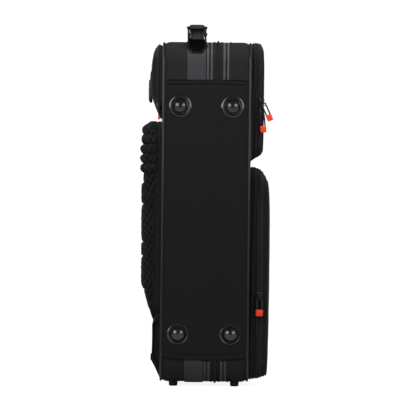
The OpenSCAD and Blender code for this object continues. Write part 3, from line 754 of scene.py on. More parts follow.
def shield(b, path, half, base, height, mirror=False):
    """A plate wrapped round the top corner, of varying half-width, with a bevelled rim."""
    s = arc(path)
    prof = [(-1, 0), (-1, 0.6), (-0.95, 0.92), (-0.88, 1), (-0.45, 1.02), (0, 1.03), (0.45, 1.02), (0.88, 1),
            (0.95, 0.92), (1, 0.6), (1, 0)]
    rows = []
    for k, (y, z, ny, nz) in enumerate(path):
        end = min(s[k], s[-1] - s[k])
        tip = min(1.0, 0.55 + 0.45 * end / 1.5)
        row = []
        for px, pw in prof:
            o = base + (height - base) * pw * tip
            yy, zz = y + o * ny, z + o * nz
            row.append((HX + px * half(z, y), 2 * MID_Y - yy if mirror else yy, zz))
        rows.append(row)
    b.solid(rows)


def rim_half(z, y):
    """Half the width of a bracket's rim."""
    if y > SY + R - 1:
        return float(np.interp(y, [SY + R, SY + 54, SY + 62], [17, 17, 12]))
    return float(np.interp(z, [606, 609, 619.5, 625.5, 628], [10.0, 12.3, 20.3, 18.2, 17.0]))


def boss_half(z, y):
    """Half the width of the boss on a bracket."""
    if y > SY + R - 1:
        return 13.9
    return float(np.interp(z, [607, 610, 618, 624, 628], [7.6, 10.2, 15.6, 14.2, 13.9]))


brackets = Build()
bosses = Build()
for mirror, at in ((False, top_at), (True, far_top)):
    shield(brackets, corner_line(26.7, 62), rim_half, 1.4, 5.3, mirror)
    shield(bosses, corner_line(29.5, 50), boss_half, 4.0, 7.0, mirror)
    for side in (-1, 1):
        cheek(brackets, at, 4, 5.0, side)
bosses.make("handle_bosses", BOSS_AND_SHADE, "rear_shell", "bracket_plastic", sharp=35)
brackets.make("handle_bracket_pair", BRACKET, "rear_shell", "bracket_plastic", ["handle_brackets"], sharp=35)

brackets = Build()
for at in (side_at, far_side):
    rows = []
    for w, k in ((1.5, 0), (4.6, 0), (5.5, 1.2)):
        plan = ((-17 + k, k + 5), (-17 + k, 60), (-12, 68 - k), (12, 68 - k),
                (17 - k, 60), (17 - k, k + 5), (12, k), (-12, k))
        rows.append([at(x, u, w) for x, u in plan])
    brackets.solid(rows)
    for side in (-1, 1):
        cheek(brackets, lambda x, u, w: at(x, 68 - u, w), 0, 5.0, side)
brackets.make("side_bracket_pair", BRACKET, "rear_shell", "bracket_plastic", ["side_brackets"], sharp=35)

rivets = Build()
HEAD = [(0.01, 1.7), (1.6, 1.6), (2.8, 1.2), (3.5, 0.5), (3.6, -0.3), (0.01, -0.3)]
for s in (-8, 8):
    for at in (top_at, far_top):
        lathe(rivets, at(s, 55, 5.2), HEAD, (0, 0, 1), 20)
    for at in (side_at, far_side):
        lathe(rivets, at(s, 7, 5.2), HEAD, (0, 1, 0), 20)
rivets.make("bracket_rivet_heads", STEEL, "rear_shell", "steel", ["bracket_rivets"], sharp=60)

GRIP_SHAPE = [(-13.6, -4.5), (-13.8, 0.0), (-13.7, 2.4), (-12.6, 4.6), (-11.6, 5.3), (0, 5.6), (11.6, 5.3),
              (12.6, 4.6), (13.7, 2.4), (13.8, 0.0), (13.6, -4.5), (12.4, -5.3), (6, -4.8), (0, -4.7),
              (-6, -4.8), (-12.4, -5.3)]
GRIP_PIN = [(0.01, 6.0), (1.6, 5.9), (2.9, 5.5), (3.3, 4.9), (3.3, 4.8), (2.4, 4.7), (2.4, -0.4),
            (0.01, -0.4)]
# Outline of the near-black bands across the grip's ends: painted shade.
END_SHADE_BAND = [(-12.2, -1.7), (12.2, -1.7), (12.6, 0), (12.2, 1.4), (-12.2, 1.4), (-12.6, 0)]


def grip(name, at, u0, u1, w, body, node):
    """A moulded grip with ribbed ends, its pins, and near-black bands across its ends painted as the shade
    below the grip.
    """
    b = Build()
    rows = []
    mid = (u0 + u1) / 2
    stations = [np.linspace(u0, u0 + 3, 6), np.arange(u0 + 3, u1 - 3, 1.6), np.linspace(u1 - 3, u1, 6)]
    for u in np.unique(np.concatenate(stations)):
        end = min(u - u0, u1 - u)
        k = 1 - 0.10 * (1 - min(1, end / 3)) ** 2
        ribbed = ramp(abs(u - mid), (u1 - u0) / 2 - 34, (u1 - u0) / 2 - 40)
        rib = 0.35 * ribbed * math.cos(u * 2 * math.pi / 6.4)
        rows.append([at(x * k, u, w + v * k + (rib if v < -4.4 else 0) + (0.3 * rib if v > 3 else 0))
                     for x, v in GRIP_SHAPE])
    b.solid(rows)
    o = b.make(name, GRIP, body, "grip_rubber", [node], sharp=45)
    p = Build()
    for u in (u0 + 8, u1 - 8):
        for s in (-1, 1):
            lathe(p, at(s * 12.8, u, w), GRIP_PIN, (s, 0, 0), 20)
    p.make(name + "_pins", METAL, body, "grip_rubber", sharp=50)
    # near-black bands across both ends: painted shade of the gap below the grip
    p = Build()
    for u, d in ((u0, -1), (u1, 1)):
        rows = []
        for q, k in ((-0.4, 1.0), (0.25, 1.0), (0.55, 0.94)):
            rows.append([at(x * k, u + d * q, w - 3.1 + v * k) for x, v in END_SHADE_BAND])
        p.solid(rows)
    p.make(name + "_end_shade_bands", BOSS_AND_SHADE, body, "grip_rubber", sharp=40)
    return o


glo, ghi = span("top_grip")
grip("top_grip_bar", top_at, glo[1] - SY, ghi[1] - SY, 26.5, "top_handle", "top_grip")
slo, shi = span("side_grip")
grip("side_grip_bar", side_at, slo[2] - side_lo[2], shi[2] - side_lo[2], 26.5, "side_handle", "side_grip")

for tag, ats, joint, axis in (("top", (top_at, far_top), "top_handle_press", (0, 0, 1)),
                              ("side", (side_at, far_side), "side_handle_press", (0, 1, 0))):
    b = Build()
    for at in ats:
        uc = 26.2 if tag == "top" else 68 - 22.2
        rows = []
        for w in np.linspace(5.6, 21.2, 12):
            k = 10.4 - 0.5 * bump(w, 13.5, 4) + 3.0 * ramp(w, 10.5, 8.5)
            plan = ((-k, -1.4), (-k + 0.8, -1.9), (-0.9, -1.9), (0, -1.3), (0.9, -1.9),
                    (k - 0.8, -1.9), (k, -1.4), (k, 1.4), (-k, 1.4))
            rows.append([at(x, uc + v, w) for x, v in plan])
        b.solid(rows)
    links = [b.make(f"{tag}_grip_links", WEB, "rear_shell", "webbing")]
    # light cords along each link's edges: painted highlights
    b = Build()
    for at in ats:
        for s in (-1, 1):
            tube(b, [at(s * 11.6, uc - 1.2, w) for w in (9.6, 12.0, 15.0, 18.0, 20.6)], 0.8, 8)
    links.append(b.make(f"{tag}_grip_link_painted_highlights", LINK_HIGHLIGHT, "rear_shell", "webbing"))
    a = ats[0](0, 0, 5.6)
    for o in links:
        tuple(q * mm for q in a)
        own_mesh(o)


# ---------- back pad ----------

PZ0, PZ1 = span("back_pad")[0][2], span("back_pad")[1][2]
PAD_BASE = span("back_pad")[1][0]
# The pad's rows: top, foot, and how far each stands out.
LOBES = [(484, 478, 0.0), (478, 459.5, 4.2), (459.5, 441.3, 5.0), (441.3, 423.5, 6.6), (423.5, 406.5, 6.6),
         (406.5, 389, 6.4), (389, 371, 1.0), (371, 332, 4.6), (332, 263, 4.4), (263, 237, 4.2),
         (237, 176, 4.2), (176, 140, 1.8), (140, 116, 1.0)]
PAD_Z = [114, 124, 138, 150, 160, 176, 190, 470, 478, 484.5]
PAD_REACH = [12, 15.5, 20.5, 23.8, 26.6, 31, 33.6, 34.6, 31, 22]
CORNER = [math.radians(a) for a in np.linspace(0, 90, 8)[:-1]]


def pad_out(z):
    """How far the pad reaches at height z: rows of lobes over a base that tapers at both ends."""
    base = np.interp(z, PAD_Z, PAD_REACH)
    add_h = 0.0
    for a, c, h in LOBES:
        if c <= z <= a and a > c:
            t = (z - (a + c) / 2) / ((a - c) / 2)
            power = 2.0 if a - c < 25 else 6.0
            add_h = h * max(0.0, 1 - abs(t) ** power) ** 0.5
    return base + add_h


def pad_surface(b):
    """The pad as rings round it, one for each height."""
    zs = np.unique(np.concatenate([np.arange(PZ0, PZ1, 1.9), [PZ1],
                                   [q for a in LOBES for q in a[:2] if PZ0 < q < PZ1]]))
    rows = []
    for z in zs:
        dz = max(0.0, 34 - (z - PZ0), 34 - (PZ1 - z))
        inset = 34 - math.sqrt(max(0.0, 34 ** 2 - dz ** 2)) if dz > 0 else 0.0
        y0, y1 = PY0 + inset, PY1 - inset
        reach = pad_out(z)
        inner = RX - PAD_BASE
        rc = min(11.0, (reach - inner) * 0.7)
        pts = []
        for d in np.linspace(inner, reach - rc, 9)[:-1]:
            pts.append((d, y0, 0, -1))
        for a in CORNER:
            out, back = math.sin(a), math.cos(a)
            pts.append((reach - rc + rc * out, y0 + rc - rc * back, out, -back))
        for y in np.linspace(y0 + rc, y1 - rc, 74)[:-1]:
            pts.append((reach, y, 1, 0))
        for a in CORNER:
            out, far = math.cos(a), math.sin(a)
            pts.append((reach - rc + rc * out, y1 - rc + rc * far, out, far))
        for d in np.linspace(reach - rc, inner, 9):
            pts.append((d, y1, 0, 1))
        pts = np.array(pts)
        s = np.concatenate([[0], np.cumsum(np.hypot(*np.diff(pts[:, :2], axis=0).T))])
        # cushioned cells between diagonal quilting lines, on the reach as well as the sides
        u = s + 0.9 * pts[:, 0]
        q = np.abs(np.sin(math.pi * (z / 21.0 + u / 17.0))) * np.abs(np.sin(math.pi * (z / 13.0 - u / 23.0)))
        amp = np.where(pts[:, 2] > 0.5, 1.3, 6.2) * np.clip((pts[:, 0] - inner) / 5, 0, 1)
        push = amp * (np.sqrt(q) - 0.75) + 0.5 * soft(np.array(z + 2 * s), 3.1, 0.7)
        # the rows' notches run round the ends
        lobes = np.clip((pad_out(z) - np.interp(z, [114, 484], [34.5, 34.5])) / 6.0, -0.4, 1)
        push += np.where(abs(pts[:, 3]) > 0.5, 3.2 * lobes * (z > 380) + 0.6 * lobes, 0)
        x = RX - (pts[:, 0] + push * pts[:, 2])
        y = pts[:, 1] + push * pts[:, 3]
        rows.append(np.stack([x, y, np.full(len(pts), z)], 1))
    b.grid(np.array(rows), wrap_v=True, cap_u=True)


b = Build()
pad_surface(b)
o = b.make("back_pad_mesh", PAD, "rear_shell", "pad_mesh", ["back_pad"], sharp=70)


# ---------- soft boxes: pockets and gusset ----------

def ring_yz(y0, y1, z0, z1, r, nc=8, nl=26):
    """A closed rounded rectangle in Y and Z with its normals, always the same number of points."""
    r = max(0.5, min(r, (y1 - y0) / 2 - 0.5, (z1 - z0) / 2 - 0.5))
    out = []
    cs = ((y0 + r, z0 + r, 180), (y1 - r, z0 + r, 270), (y1 - r, z1 - r, 0), (y0 + r, z1 - r, 90))
    for k, (cy, cz, a0) in enumerate(cs):
        for i in range(nc + 1):
            a = math.radians(a0 + 90 * i / nc)
            out.append((cy + r * math.cos(a), cz + r * math.sin(a), math.cos(a), math.sin(a)))
        ny, nz, a1 = cs[(k + 1) % 4]
        nxt = (ny + r * math.cos(math.radians(a1)), nz + r * math.sin(math.radians(a1)))
        last = out[-1]
        n = nl if k % 2 else nl // 2 * 2
        for i in range(1, n):
            t = i / n
            out.append((last[0] + (nxt[0] - last[0]) * t, last[1] + (nxt[1] - last[1]) * t, last[2], last[3]))
    return np.array(out)


class Pocket:
    """Rings of a soft box that stands out from a face. d is the distance from the face."""

    def __init__(self, face_x, side, y0, y1, d, z0, z1, inset, r, ripple=None):
        self.face_x, self.side, self.y0, self.y1 = face_x, side, y0, y1
        self.d, self.z0, self.z1, self.inset = d, z0, z1, inset
        self.r, self.ripple = r, ripple

    def ring(self, d, shrink=0.0, move=True):
        y_in = float(np.interp(d, self.d, self.inset)) + shrink
        z0 = float(np.interp(d, self.d, self.z0)) + shrink
        z1 = float(np.interp(d, self.d, self.z1)) - shrink
        p = ring_yz(self.y0 + y_in, self.y1 - y_in, z0, z1, self.r - shrink)
        push = self.ripple(d, p) if self.ripple and move else 0.0
        x = np.full(len(p), self.face_x + self.side * d)
        return np.stack([x, p[:, 0] + push * p[:, 2], p[:, 1] + push * p[:, 3]], 1)

    def wall(self, b, d0, d1, n=14, thick=2.4):
        """The wall from d0 to d1: its outside, then its inside, thick further in."""
        ds = np.linspace(d0, d1, n)
        rows = [self.ring(d) for d in ds]
        rows += [self.ring(d, thick, False) for d in (d1, (d0 + d1) / 2, d0)]
        b.grid(rows, wrap_u=True, wrap_v=True)

    def lid(self, b, d0, d1, bulge, n=8, thick=1.8, wave=None):
        """The rest of the box beyond d0: its edge, and a puffed face closed over it."""
        rows = [self.ring(d) for d in np.linspace(d0, d1, n)]
        edge = rows[-1]
        c = edge.mean(0)
        for k in (0.985, 0.955, 0.90, 0.82, 0.72, 0.6, 0.46, 0.3, 0.12):
            row = c + (edge - c) * k
            row[:, 0] = self.face_x + self.side * (d1 + bulge * (1 - k ** 4) ** 0.8)
            if wave is not None:
                row[:, 0] += self.side * wave(row[:, 1], row[:, 2]) * (1 - k ** 8)
            rows.append(row)
        last = self.ring(d1 - thick, 2.6, False)
        ci = last.mean(0)
        back = []
        for k in (0.12, 0.5, 0.8):
            back.append(ci + (last - ci) * k)
        back += [self.ring(q, 2.6 if q > d0 else 2.2, False) for q in np.linspace(d1 - thick, d0, 7)]
        base = len(b.v)
        b.grid(np.array(rows), wrap_v=True)
        b.grid(np.array(back), wrap_v=True)
        nv = len(edge)
        top = base + (len(rows) - 1) * nv
        low = base + len(rows) * nv
        b.f.append(tuple(top + j for j in range(nv)))
        b.f.append(tuple(low + j for j in reversed(range(nv))))
        foot = base + (len(rows) + len(back) - 1) * nv
        for j in range(nv):
            m = (j + 1) % nv
            b.f.append((base + j, foot + j, foot + m, base + m))

    def zip(self, b_tape_base, b_tape_lid, b_coil, d, gap=0.4):
        """A zip round the box at distance d: a tape each side, and the coil between."""
        for b, s in ((b_tape_base, -1), (b_tape_lid, 1)):
            rows = []
            for k, lift in ((0.5, 0.2), (1.6, 0.75), (4.2, 0.75), (4.8, 0.1), (4.8, -0.8), (0.5, -0.8)):
                r = self.ring(d + s * (k + gap / 2))
                n = self.normals(d)
                rows.append(r + n * lift)
            b.grid(rows, wrap_u=True, wrap_v=True)
        if b_coil is not None:
            ring = self.ring(d)
            n = self.normals(d)
            closed = np.vstack([ring, ring[:1]])
            nn = np.vstack([n, n[:1]])
            s = np.concatenate([[0], np.cumsum(np.linalg.norm(np.diff(closed, axis=0), axis=1))])
            q = np.arange(1.0, s[-1] - 1, 1.7)
            p = np.stack([np.interp(q, s, closed[:, k]) for k in range(3)], 1)
            o = np.stack([np.interp(q, s, nn[:, k]) for k in range(3)], 1)
            o /= np.linalg.norm(o, axis=1)[:, None]
            x = np.broadcast_to(np.array([1.0, 0, 0]), p.shape)
            t = np.cross(o, x)
            b_coil.blocks(p + o * 0.1, t, o, x, (1.15, 1.0, 1.6), 0.7)

    def normals(self, d):
        """The outward normals of the outline at distance d."""
        p = ring_yz(self.y0, self.y1, float(np.interp(d, self.d, self.z0)),
                    float(np.interp(d, self.d, self.z1)), self.r)
        return np.stack([np.zeros(len(p)), p[:, 2], p[:, 3]], 1)


def near(p):
    """1 on the wall that faces the spine side, 0 elsewhere."""
    return np.clip(-p[:, 2], 0, 1)


def updown(p):
    """1 on the upper and lower walls, 0 on the sides."""
    return np.abs(p[:, 3])


# pad gusset
GZ0, GZ1 = span("pad_gusset")[0][2], span("pad_gusset")[1][2]


def gusset_ripple(d, p):
    """The knit's sewn line and its roundness."""
    line = 6.1 + 4.5 * ramp(p[:, 1], 430, 486)
    g = -0.9 * bump(d, line, 0.55)
    return g + 0.8 * math.sin(math.pi * min(1, d / 13.0)) - 1.2 + 0.25 * soft(p[:, 1] + 4 * d, 15, 0.3)


gus = Pocket(RX, -1, PY0, PY1, [0, 13.4], [GZ0, GZ0], [GZ1, GZ1], [0.5, 0.0], 34, gusset_ripple)
b = Build()
gus.wall(b, 0.0, 13.4, 40)
o = b.make("pad_side_knit", GUSSET, "rear_shell", "pad_fabric", ["pad_gusset"], sharp=60)

def pocket_base(pocket, stem, mat, body, d, n):
    """The wall of a pocket and its zip at distance d. Returns the flap's tape, not made yet."""
    wall, tape_in, tape_out, coil = (Build() for _ in range(4))
    pocket.wall(wall, 0.2, d - 0.4, n)
    pocket.zip(tape_in, tape_out, coil, d)
    wall.make(f"{stem}_wall", mat, body, "shell_fabric", [f"{stem}_base"], sharp=60)
    tape_in.make(f"{stem}_tape_in", FLAP_TAPE, body, "zip_tape")
    coil.make(f"{stem}_coil", COIL, body, "zip_tape", sharp=60)
    return tape_out


# rear pocket
RZ = RX - (span("rear_pocket_lid")[1][0] + span("rear_pocket_base")[0][0]) / 2


def rear_ripple(d, p):
    """Slack of the rear pocket: fine creases that run up and down."""
    z = p[:, 1]
    v = near(p) * (0.7 * soft(d * 3.2 + z * 0.08, 5.0, 0.2) + 0.5 * soft(d * 1.5 - z * 0.05, 2.2, 1.1))
    return v + updown(p) * (0.7 * np.sin(d * 1.75 + 0.05 * p[:, 0])) - 0.2


rp = Pocket(RX, -1, PY0, PY1, [0, 4, 8, 10, 13, 15.5, 18, 20, 21.5, 22.5, 23],
            [491, 491.5, 495, 499, 505, 511, 518, 523.5, 527, 530, 533],
            [621, 622.5, 624, 623.5, 620.5, 617, 612, 604, 595, 586, 577],
            [0, 0, 0, 0, 0.3, 0.8, 1.5, 2.6, 4.2, 7, 10], 24, rear_ripple)
tape = pocket_base(rp, "rear_pocket", POCKET, "rear_shell", RZ, 12)
tape.make("rear_pocket_tape_out", FLAP_TAPE, "rear_flap", "zip_tape")
b = Build()
rp.lid(b, RZ + 0.4, 23.0, 2.6, 22, wave=lambda y, z: 0.5 * soft(y + z * 0.4, 21, 0.5))
b.make("rear_pocket_puff", POCKET, "rear_flap", "shell_fabric", ["rear_pocket_lid"], sharp=60)
PATCH_STEPS = ((0.5, 0.2), (0.0, -2.0), (0.2, -3.6), (1.2, -4.8), (3.0, -5.5), (4.2, -5.6), (5.0, -5.1),
               (6.2, -5.1), (7.2, -5.5), (12, -5.8), (18, -6.0))
plo, phi = span("rear_pocket_patch")
b = Build()
rows = []
for k, x in PATCH_STEPS:
    ring = ring_yz(plo[1] + k, phi[1] - k, plo[2] + k, phi[2] - k, 9, 6, 10)
    rows.append([(phi[0] + x, q[0], q[1]) for q in ring])
b.solid(rows)
b.make("rear_pocket_blank_patch", PATCH, "rear_flap", "patch_rubber", ["rear_pocket_patch"], sharp=40)

# upper front pocket
UZ = (span("upper_pocket_base")[1][0] + span("upper_pocket_lid")[0][0]) / 2 - FX


def upper_ripple(d, p):
    """Slack of the upper pocket: a deep fold beside the piping and slow creases."""
    z = p[:, 1]
    height = ramp(z, 540, 570) * (1 - 0.4 * ramp(z, 604, 624))
    deep = -5.5 * bump(d, 4.4 - 0.9 * ramp(z, 600, 520), 1.7) * height
    low = -4.5 * bump(d, 6.2, 2.2) * (1 - ramp(z, 460, 500))
    slow = 1.1 * soft(d * 2.4 + z * 0.05, 3.6, 0.9) + 0.6 * soft(d * 1.9 - z * 0.07, 2.6, 0.1)
    return near(p) * (deep + low + slow) + updown(p) * (0.9 * np.sin(d * 1.7 + 0.06 * p[:, 0]) - 0.5)


up = Pocket(FX, 1, PY0, PY1, [0, 4, 9, 14, 18, 21, 23, 24.5, 25],
            [411, 413.5, 417.5, 421, 423.5, 425.5, 427.5, 430, 433],
            [626, 628, 629, 628.5, 626.5, 623, 619, 613, 608],
            [0, 0, 0, 0, 0, 0.1, 0.5, 1.5, 2.4], 20, upper_ripple)
# the upper pocket wears the pocket weave with painted light
pocket_base(up, "upper_pocket", POCKET_PAINTED_LIT, "front_shell", UZ, 26)
b = Build()
up.lid(b, UZ + 0.4, 25.0, 1.2, 8, wave=lambda y, z: 0.9 * soft(y + z * 0.5, 31, 0.5))
b.make("upper_pocket_face", POCKET_PAINTED_LIT, "upper_flap", "shell_fabric", ["upper_pocket_lid"], sharp=60)

# lower front pocket: its face is fixed below the fold and opens above it
LZ = (span("lower_pocket_lid")[0][0]) - 0.3 - FX
LF = span("lower_pocket_lid")[0][2] - 0.3
LID_BEND = 9  # half the height of the face's middle strip, which rides on no body


def lower_ripple(d, p):
    """Slack of the lower pocket: long creases from its top and a dent at its foot."""
    z = p[:, 1]
    high = ramp(z, 322, 378)
    v = -4.6 * bump(d, 16.0, 1.6 + 2.2 * high) * high
    v = v - 1.7 * bump(d, 14.0 + 4.5 * ramp(z, 330, 250), 1.1) * (1 - high) * ramp(z, 90, 140)
    v = v + 1.9 * bump(d, 9.5 + 0.02 * (z - 300), 2.8)
    v = v - 1.7 * bump(d, 5.0 - 0.10 * (z - 362), 1.7) * ramp(z, 345, 362)
    v = v + 1.5 * bump(d, 17.0 + 6.0 * ramp(z, 35, 120), 1.1) * ramp(z, 26, 44) * (1 - ramp(z, 95, 125))
    v = v - 3.2 * bump(d, 18.5, 2.2) * (1 - ramp(z, 34, 48))
    v = v + 0.9 * soft(d * 2.6 + z * 0.035, 4.0, 1.7) + 0.5 * soft(d * 4.1 - z * 0.02, 3.0, 0.2)
    return near(p) * v + updown(p) * (0.9 * np.sin(d * 1.3 + 0.05 * p[:, 0]) - 0.5)


lp = Pocket(FX, 1, PY0, PY1, [0, 6, 12, 18, 22, 26, 30, 33, 35, 36],
             [11.8, 12.5, 13.5, 15, 16, 17, 18, 19, 20.5, 23],
            [400, 402, 401, 398, 395.5, 391.5, 385, 379, 375, 369],
             [0, 0, 0, 0, 0, 0, 0.2, 0.8, 2.0, 3.2], 26, lower_ripple)


def split(src, name, lo_z, hi_z):
    """A copy of a closed mesh cut to a band of height, with its cuts filled."""
    me = src.data.copy()
    o = bpy.data.objects.new(name, me)
    bpy.context.scene.collection.objects.link(o)
    bm = bmesh.new()
    bm.from_mesh(me)
    for z, clear_up in ((lo_z, False), (hi_z, True)):
        if z is None:
            continue
        geom = bm.verts[:] + bm.edges[:] + bm.faces[:]
        r = bmesh.ops.bisect_plane(bm, geom=geom, plane_co=(0, 0, z * mm), plane_no=(0, 0, 1), dist=1e-7,
                                   clear_outer=clear_up, clear_inner=not clear_up)
        edges = [q for q in r["geom_cut"] if isinstance(q, bmesh.types.BMEdge) and q.is_boundary]
        bmesh.ops.holes_fill(bm, edges=edges, sides=0)
    bmesh.ops.triangulate(bm, faces=[q for q in bm.faces if len(q.verts) > 8])
    bm.to_mesh(me)
    bm.free()
    me.set_sharp_from_angle(angle=math.radians(60))
    return o


# the lower pocket wears the pocket weave with painted shade
tape = pocket_base(lp, "lower_pocket", POCKET_PAINTED_SHADE, "front_shell", LZ, 26)
tape = tape.make("lower_pocket_tape_whole", FLAP_TAPE, None)
b = Build()
lp.lid(b, LZ + 0.4, 36.0, 3.4, 18, wave=lambda y, z: 1.0 * soft(y + z * 0.35, 33, 0.5))
whole = b.make("lower_pocket_whole", POCKET_PAINTED_SHADE, None, sharp=60)
for src, stem, slot_ in ((whole, "lower_pocket_face", "shell_fabric"),
                         (tape, "lower_pocket_tape", "zip_tape")):
    low = split(src, stem + "_foot", None, LF - LID_BEND)
    bend = split(src, stem + "_bend", LF - LID_BEND, LF + LID_BEND)
    top = split(src, stem + "_top", LF + LID_BEND, None)
    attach(low, "front_shell")
    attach(top, "lower_flap")
    if stem.endswith("face"):
        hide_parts("lower_pocket_lid")
    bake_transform(bend)
    bpy.data.objects.remove(src)


# ---------- lower back panel and strap tabs ----------

def panel_push(y, z):
    """Slack over the panel: a dent behind the straps' roots and slow waves."""
    return 0.7 * soft(y + 0.6 * z, 19, 0.4) - 1.2 * bump(z, 40, 5) + 0.8 * bump(z, 112, 3)


def soft_prism(b, poly, y0, y1, rounding=6.0, n=5, push=None):
    """A profile in X and Z carried along Y, with rounded ends."""
    p = np.array(poly, float)
    c = p.mean(0)
    fine = []
    for i in range(len(p)):
        q = p[(i + 1) % len(p)]
        for t in np.linspace(0, 1, 7)[:-1]:
            fine.append(p[i] + (q - p[i]) * t)
    fine = np.array(fine)
    smooth = fine.copy()
    for _ in range(2):
        smooth = (np.roll(smooth, 1, 0) + 2 * smooth + np.roll(smooth, -1, 0)) / 4
    rows = []
    ts = [math.radians(a) for a in np.linspace(8, 90, n)]
    ys = [y0 + rounding * (1 - math.sin(a)) for a in ts]
    ys += list(np.linspace(y0 + rounding, y1 - rounding, 30)[1:-1])
    ys += [y1 - rounding * (1 - math.sin(a)) for a in reversed(ts)]
    for y in ys:
        e = min(y - y0, y1 - y)
        k = 1 - 0.22 * (1 - min(1, e / rounding)) ** 2
        ring = c + (smooth - c) * k
        rows.append([(q[0] - (push(y, q[1]) if push and q[0] < RX - 4 else 0), y, q[1]) for q in ring])
    b.solid(rows)


PANEL = [(0, 134), (8, 132), (14, 124), (15.8, 110), (16.0, 84), (16.8, 60), (17.0, 50), (14.6, 44.5),
         (8.6, 31), (2.5, 19), (0, 17)]
blo, bhi = span("lower_back_panel")
b = Build()
soft_prism(b, [(RX - q, z) for q, z in PANEL], blo[1], bhi[1], 5, push=panel_push)
o = b.make("lower_back_panel_cloth", SHELL, "rear_shell", "shell_fabric", ["lower_back_panel"], sharp=50)
STRAP_SECTION = [(-20, 0.4), (-19.4, 1.5), (-15, 1.3), (-10, 1.7), (-5, 1.4), (0, 1.7), (5, 1.4), (10, 1.7),
                 (15, 1.3), (19.4, 1.5), (20, 0.4), (19, -0.4), (0, -0.4), (-19, -0.4)]
CUFF_SECTION = [(-20.5, 0), (-20, 1.2), (0, 1.5), (20, 1.2), (20.5, 0), (0, -0.8)]
tlo, thi = span("strap_tabs")
b = Build()
for yc in (tlo[1] + 20, thi[1] - 20):
    rows = []
    for t in np.linspace(0, 1, 18):
        x = RX - 0.6 - 16.6 * t
        zc = 15.5 + 33.5 * t + 1.2 * math.sin(math.pi * t)
        n = np.array([-0.9, -0.45])
        rows.append([(x + n[0] * w, yc + q, zc + n[1] * w) for q, w in STRAP_SECTION])
    b.solid(rows)
    rows = []
    for t in np.linspace(0, 1, 5):
        x = RX - 17.4 - 0.3 * math.sin(math.pi * t)
        rows.append([(x - w, yc + q, 47 + 11 * t) for q, w in CUFF_SECTION])
    b.solid(rows)
b.make("strap_tab_webs", WEB, "rear_shell", "webbing", ["strap_tabs"], sharp=50)


# ---------- faces, boards, linings, divider, straps and washers ----------

def plate(b, x_back, x_front, off, r, crown_h, wave, quilt=0.0, pitch=46.0):
    """A rounded panel with a flat back at x_back and a puffed, sewn front beyond x_front."""
    side = 1 if x_front > x_back else -1
    y0, y1, z0, z1 = SY + off, FY - off, BZ + off, TZ - off
    rows = []
    for q, x in ((1.0, x_back), (0.0, x_back + side * 0.6), (0.0, x_front - side * 1.4),
                 (0.6, x_front - side * 0.4),
                 (2.0, x_front)):
        p = ring_yz(y0 + q, y1 - q, z0 + q, z1 - q, r - q, 10, 44)
        rows.append(np.stack([np.full(len(p), x), p[:, 0], p[:, 1]], 1))
    for q in np.concatenate([[4, 5.2, 6.4, 9, 13, 18], np.arange(25, 130, 7.0)]):
        p = ring_yz(y0 + q, y1 - q, z0 + q, z1 - q, max(2.0, r - q), 10, 44)
        h = crown_h * (1 - math.exp(-q / 16.0)) - 0.8 * float(bump(q, 5.2, 0.9))
        y, z = p[:, 0], p[:, 1]
        v = h + wave * soft(y + 0.5 * z, 37, 0.4) * soft(z - 0.3 * y, 61, 1.2) * min(1, q / 20)
        if quilt:
            g = np.abs(np.sin(math.pi * (y + z) / pitch) * np.sin(math.pi * (y - z) / pitch))
            v = v + quilt * (np.sqrt(g) - 0.7) * min(1, q / 14)
        rows.append(np.stack([x_front + side * v, p[:, 0], p[:, 1]], 1))
    b.grid(np.array(rows), wrap_v=True, cap_u=True)


for tag, xb, xf, body in (("rear", RX + 3.9, RX + 0.3, "rear_shell"),
                          ("front", FX - 3.9, FX - 0.3, "front_shell")):
    b = Build()
    plate(b, xb, xf, 5.0, R - 5, 0.9, 0.5)
    b.make(f"{tag}_face_cloth", SHELL, body, "shell_fabric", [f"{tag}_face"], sharp=50)
for tag, xb, xf, body in (("rear", RX + 4.1, RX + 5.4, "rear_shell"),
                          ("front", FX - 4.1, FX - 5.4, "front_shell")):
    b = Build()
    plate(b, xb, xf, 7.3, R - 7.3, 0.6, 0.2, 0.5)
    b.make(f"{tag}_quilted_board", BOARD, body, "stiff_board", [f"{tag}_board"], sharp=60)


def lining_ring(b, x0, x1, path, closed):
    """A padded wall lining with sewn channels along and across it."""
    n = 22
    xs = np.linspace(x0, x1, n)
    inner = [(x, -7.0 + 0.7 * bump(x, x0 + (x1 - x0) * 0.33, 1.3) + 0.7 * bump(x, x0 + (x1 - x0) * 0.67, 1.3)
              + 1.2 * bump(x, x0, 1.2) + 1.2 * bump(x, x1, 1.2)) for x in xs]

    def channels(xs, off, s):
        """Sewn quilting lines in the inner side of the lining."""
        return xs, np.where(off < -4.5, off + 0.8 * np.abs(np.cos(math.pi * s / QUILT)) ** 14, off)

    sweep(b, [(x0, -2.3), (x1, -2.3)] + inner[::-1], path, closed, channels)


def spine_strip(b, x0, x1, lo_z, hi_z):
    """The lining behind a stretch of the spine panel."""
    zs = np.linspace(lo_z, hi_z, 90)
    rows = []
    for z in zs:
        g = 0.6 * abs(math.cos(math.pi * z / QUILT)) ** 14
        rows.append([(x0, SY + 1.9, z), (x1, SY + 1.9, z), (x1, SY + 6.2 - g, z),
                     ((x0 + x1) / 2, SY + 6.9 - g, z), (x0, SY + 6.2 - g, z)])
    b.solid(rows)


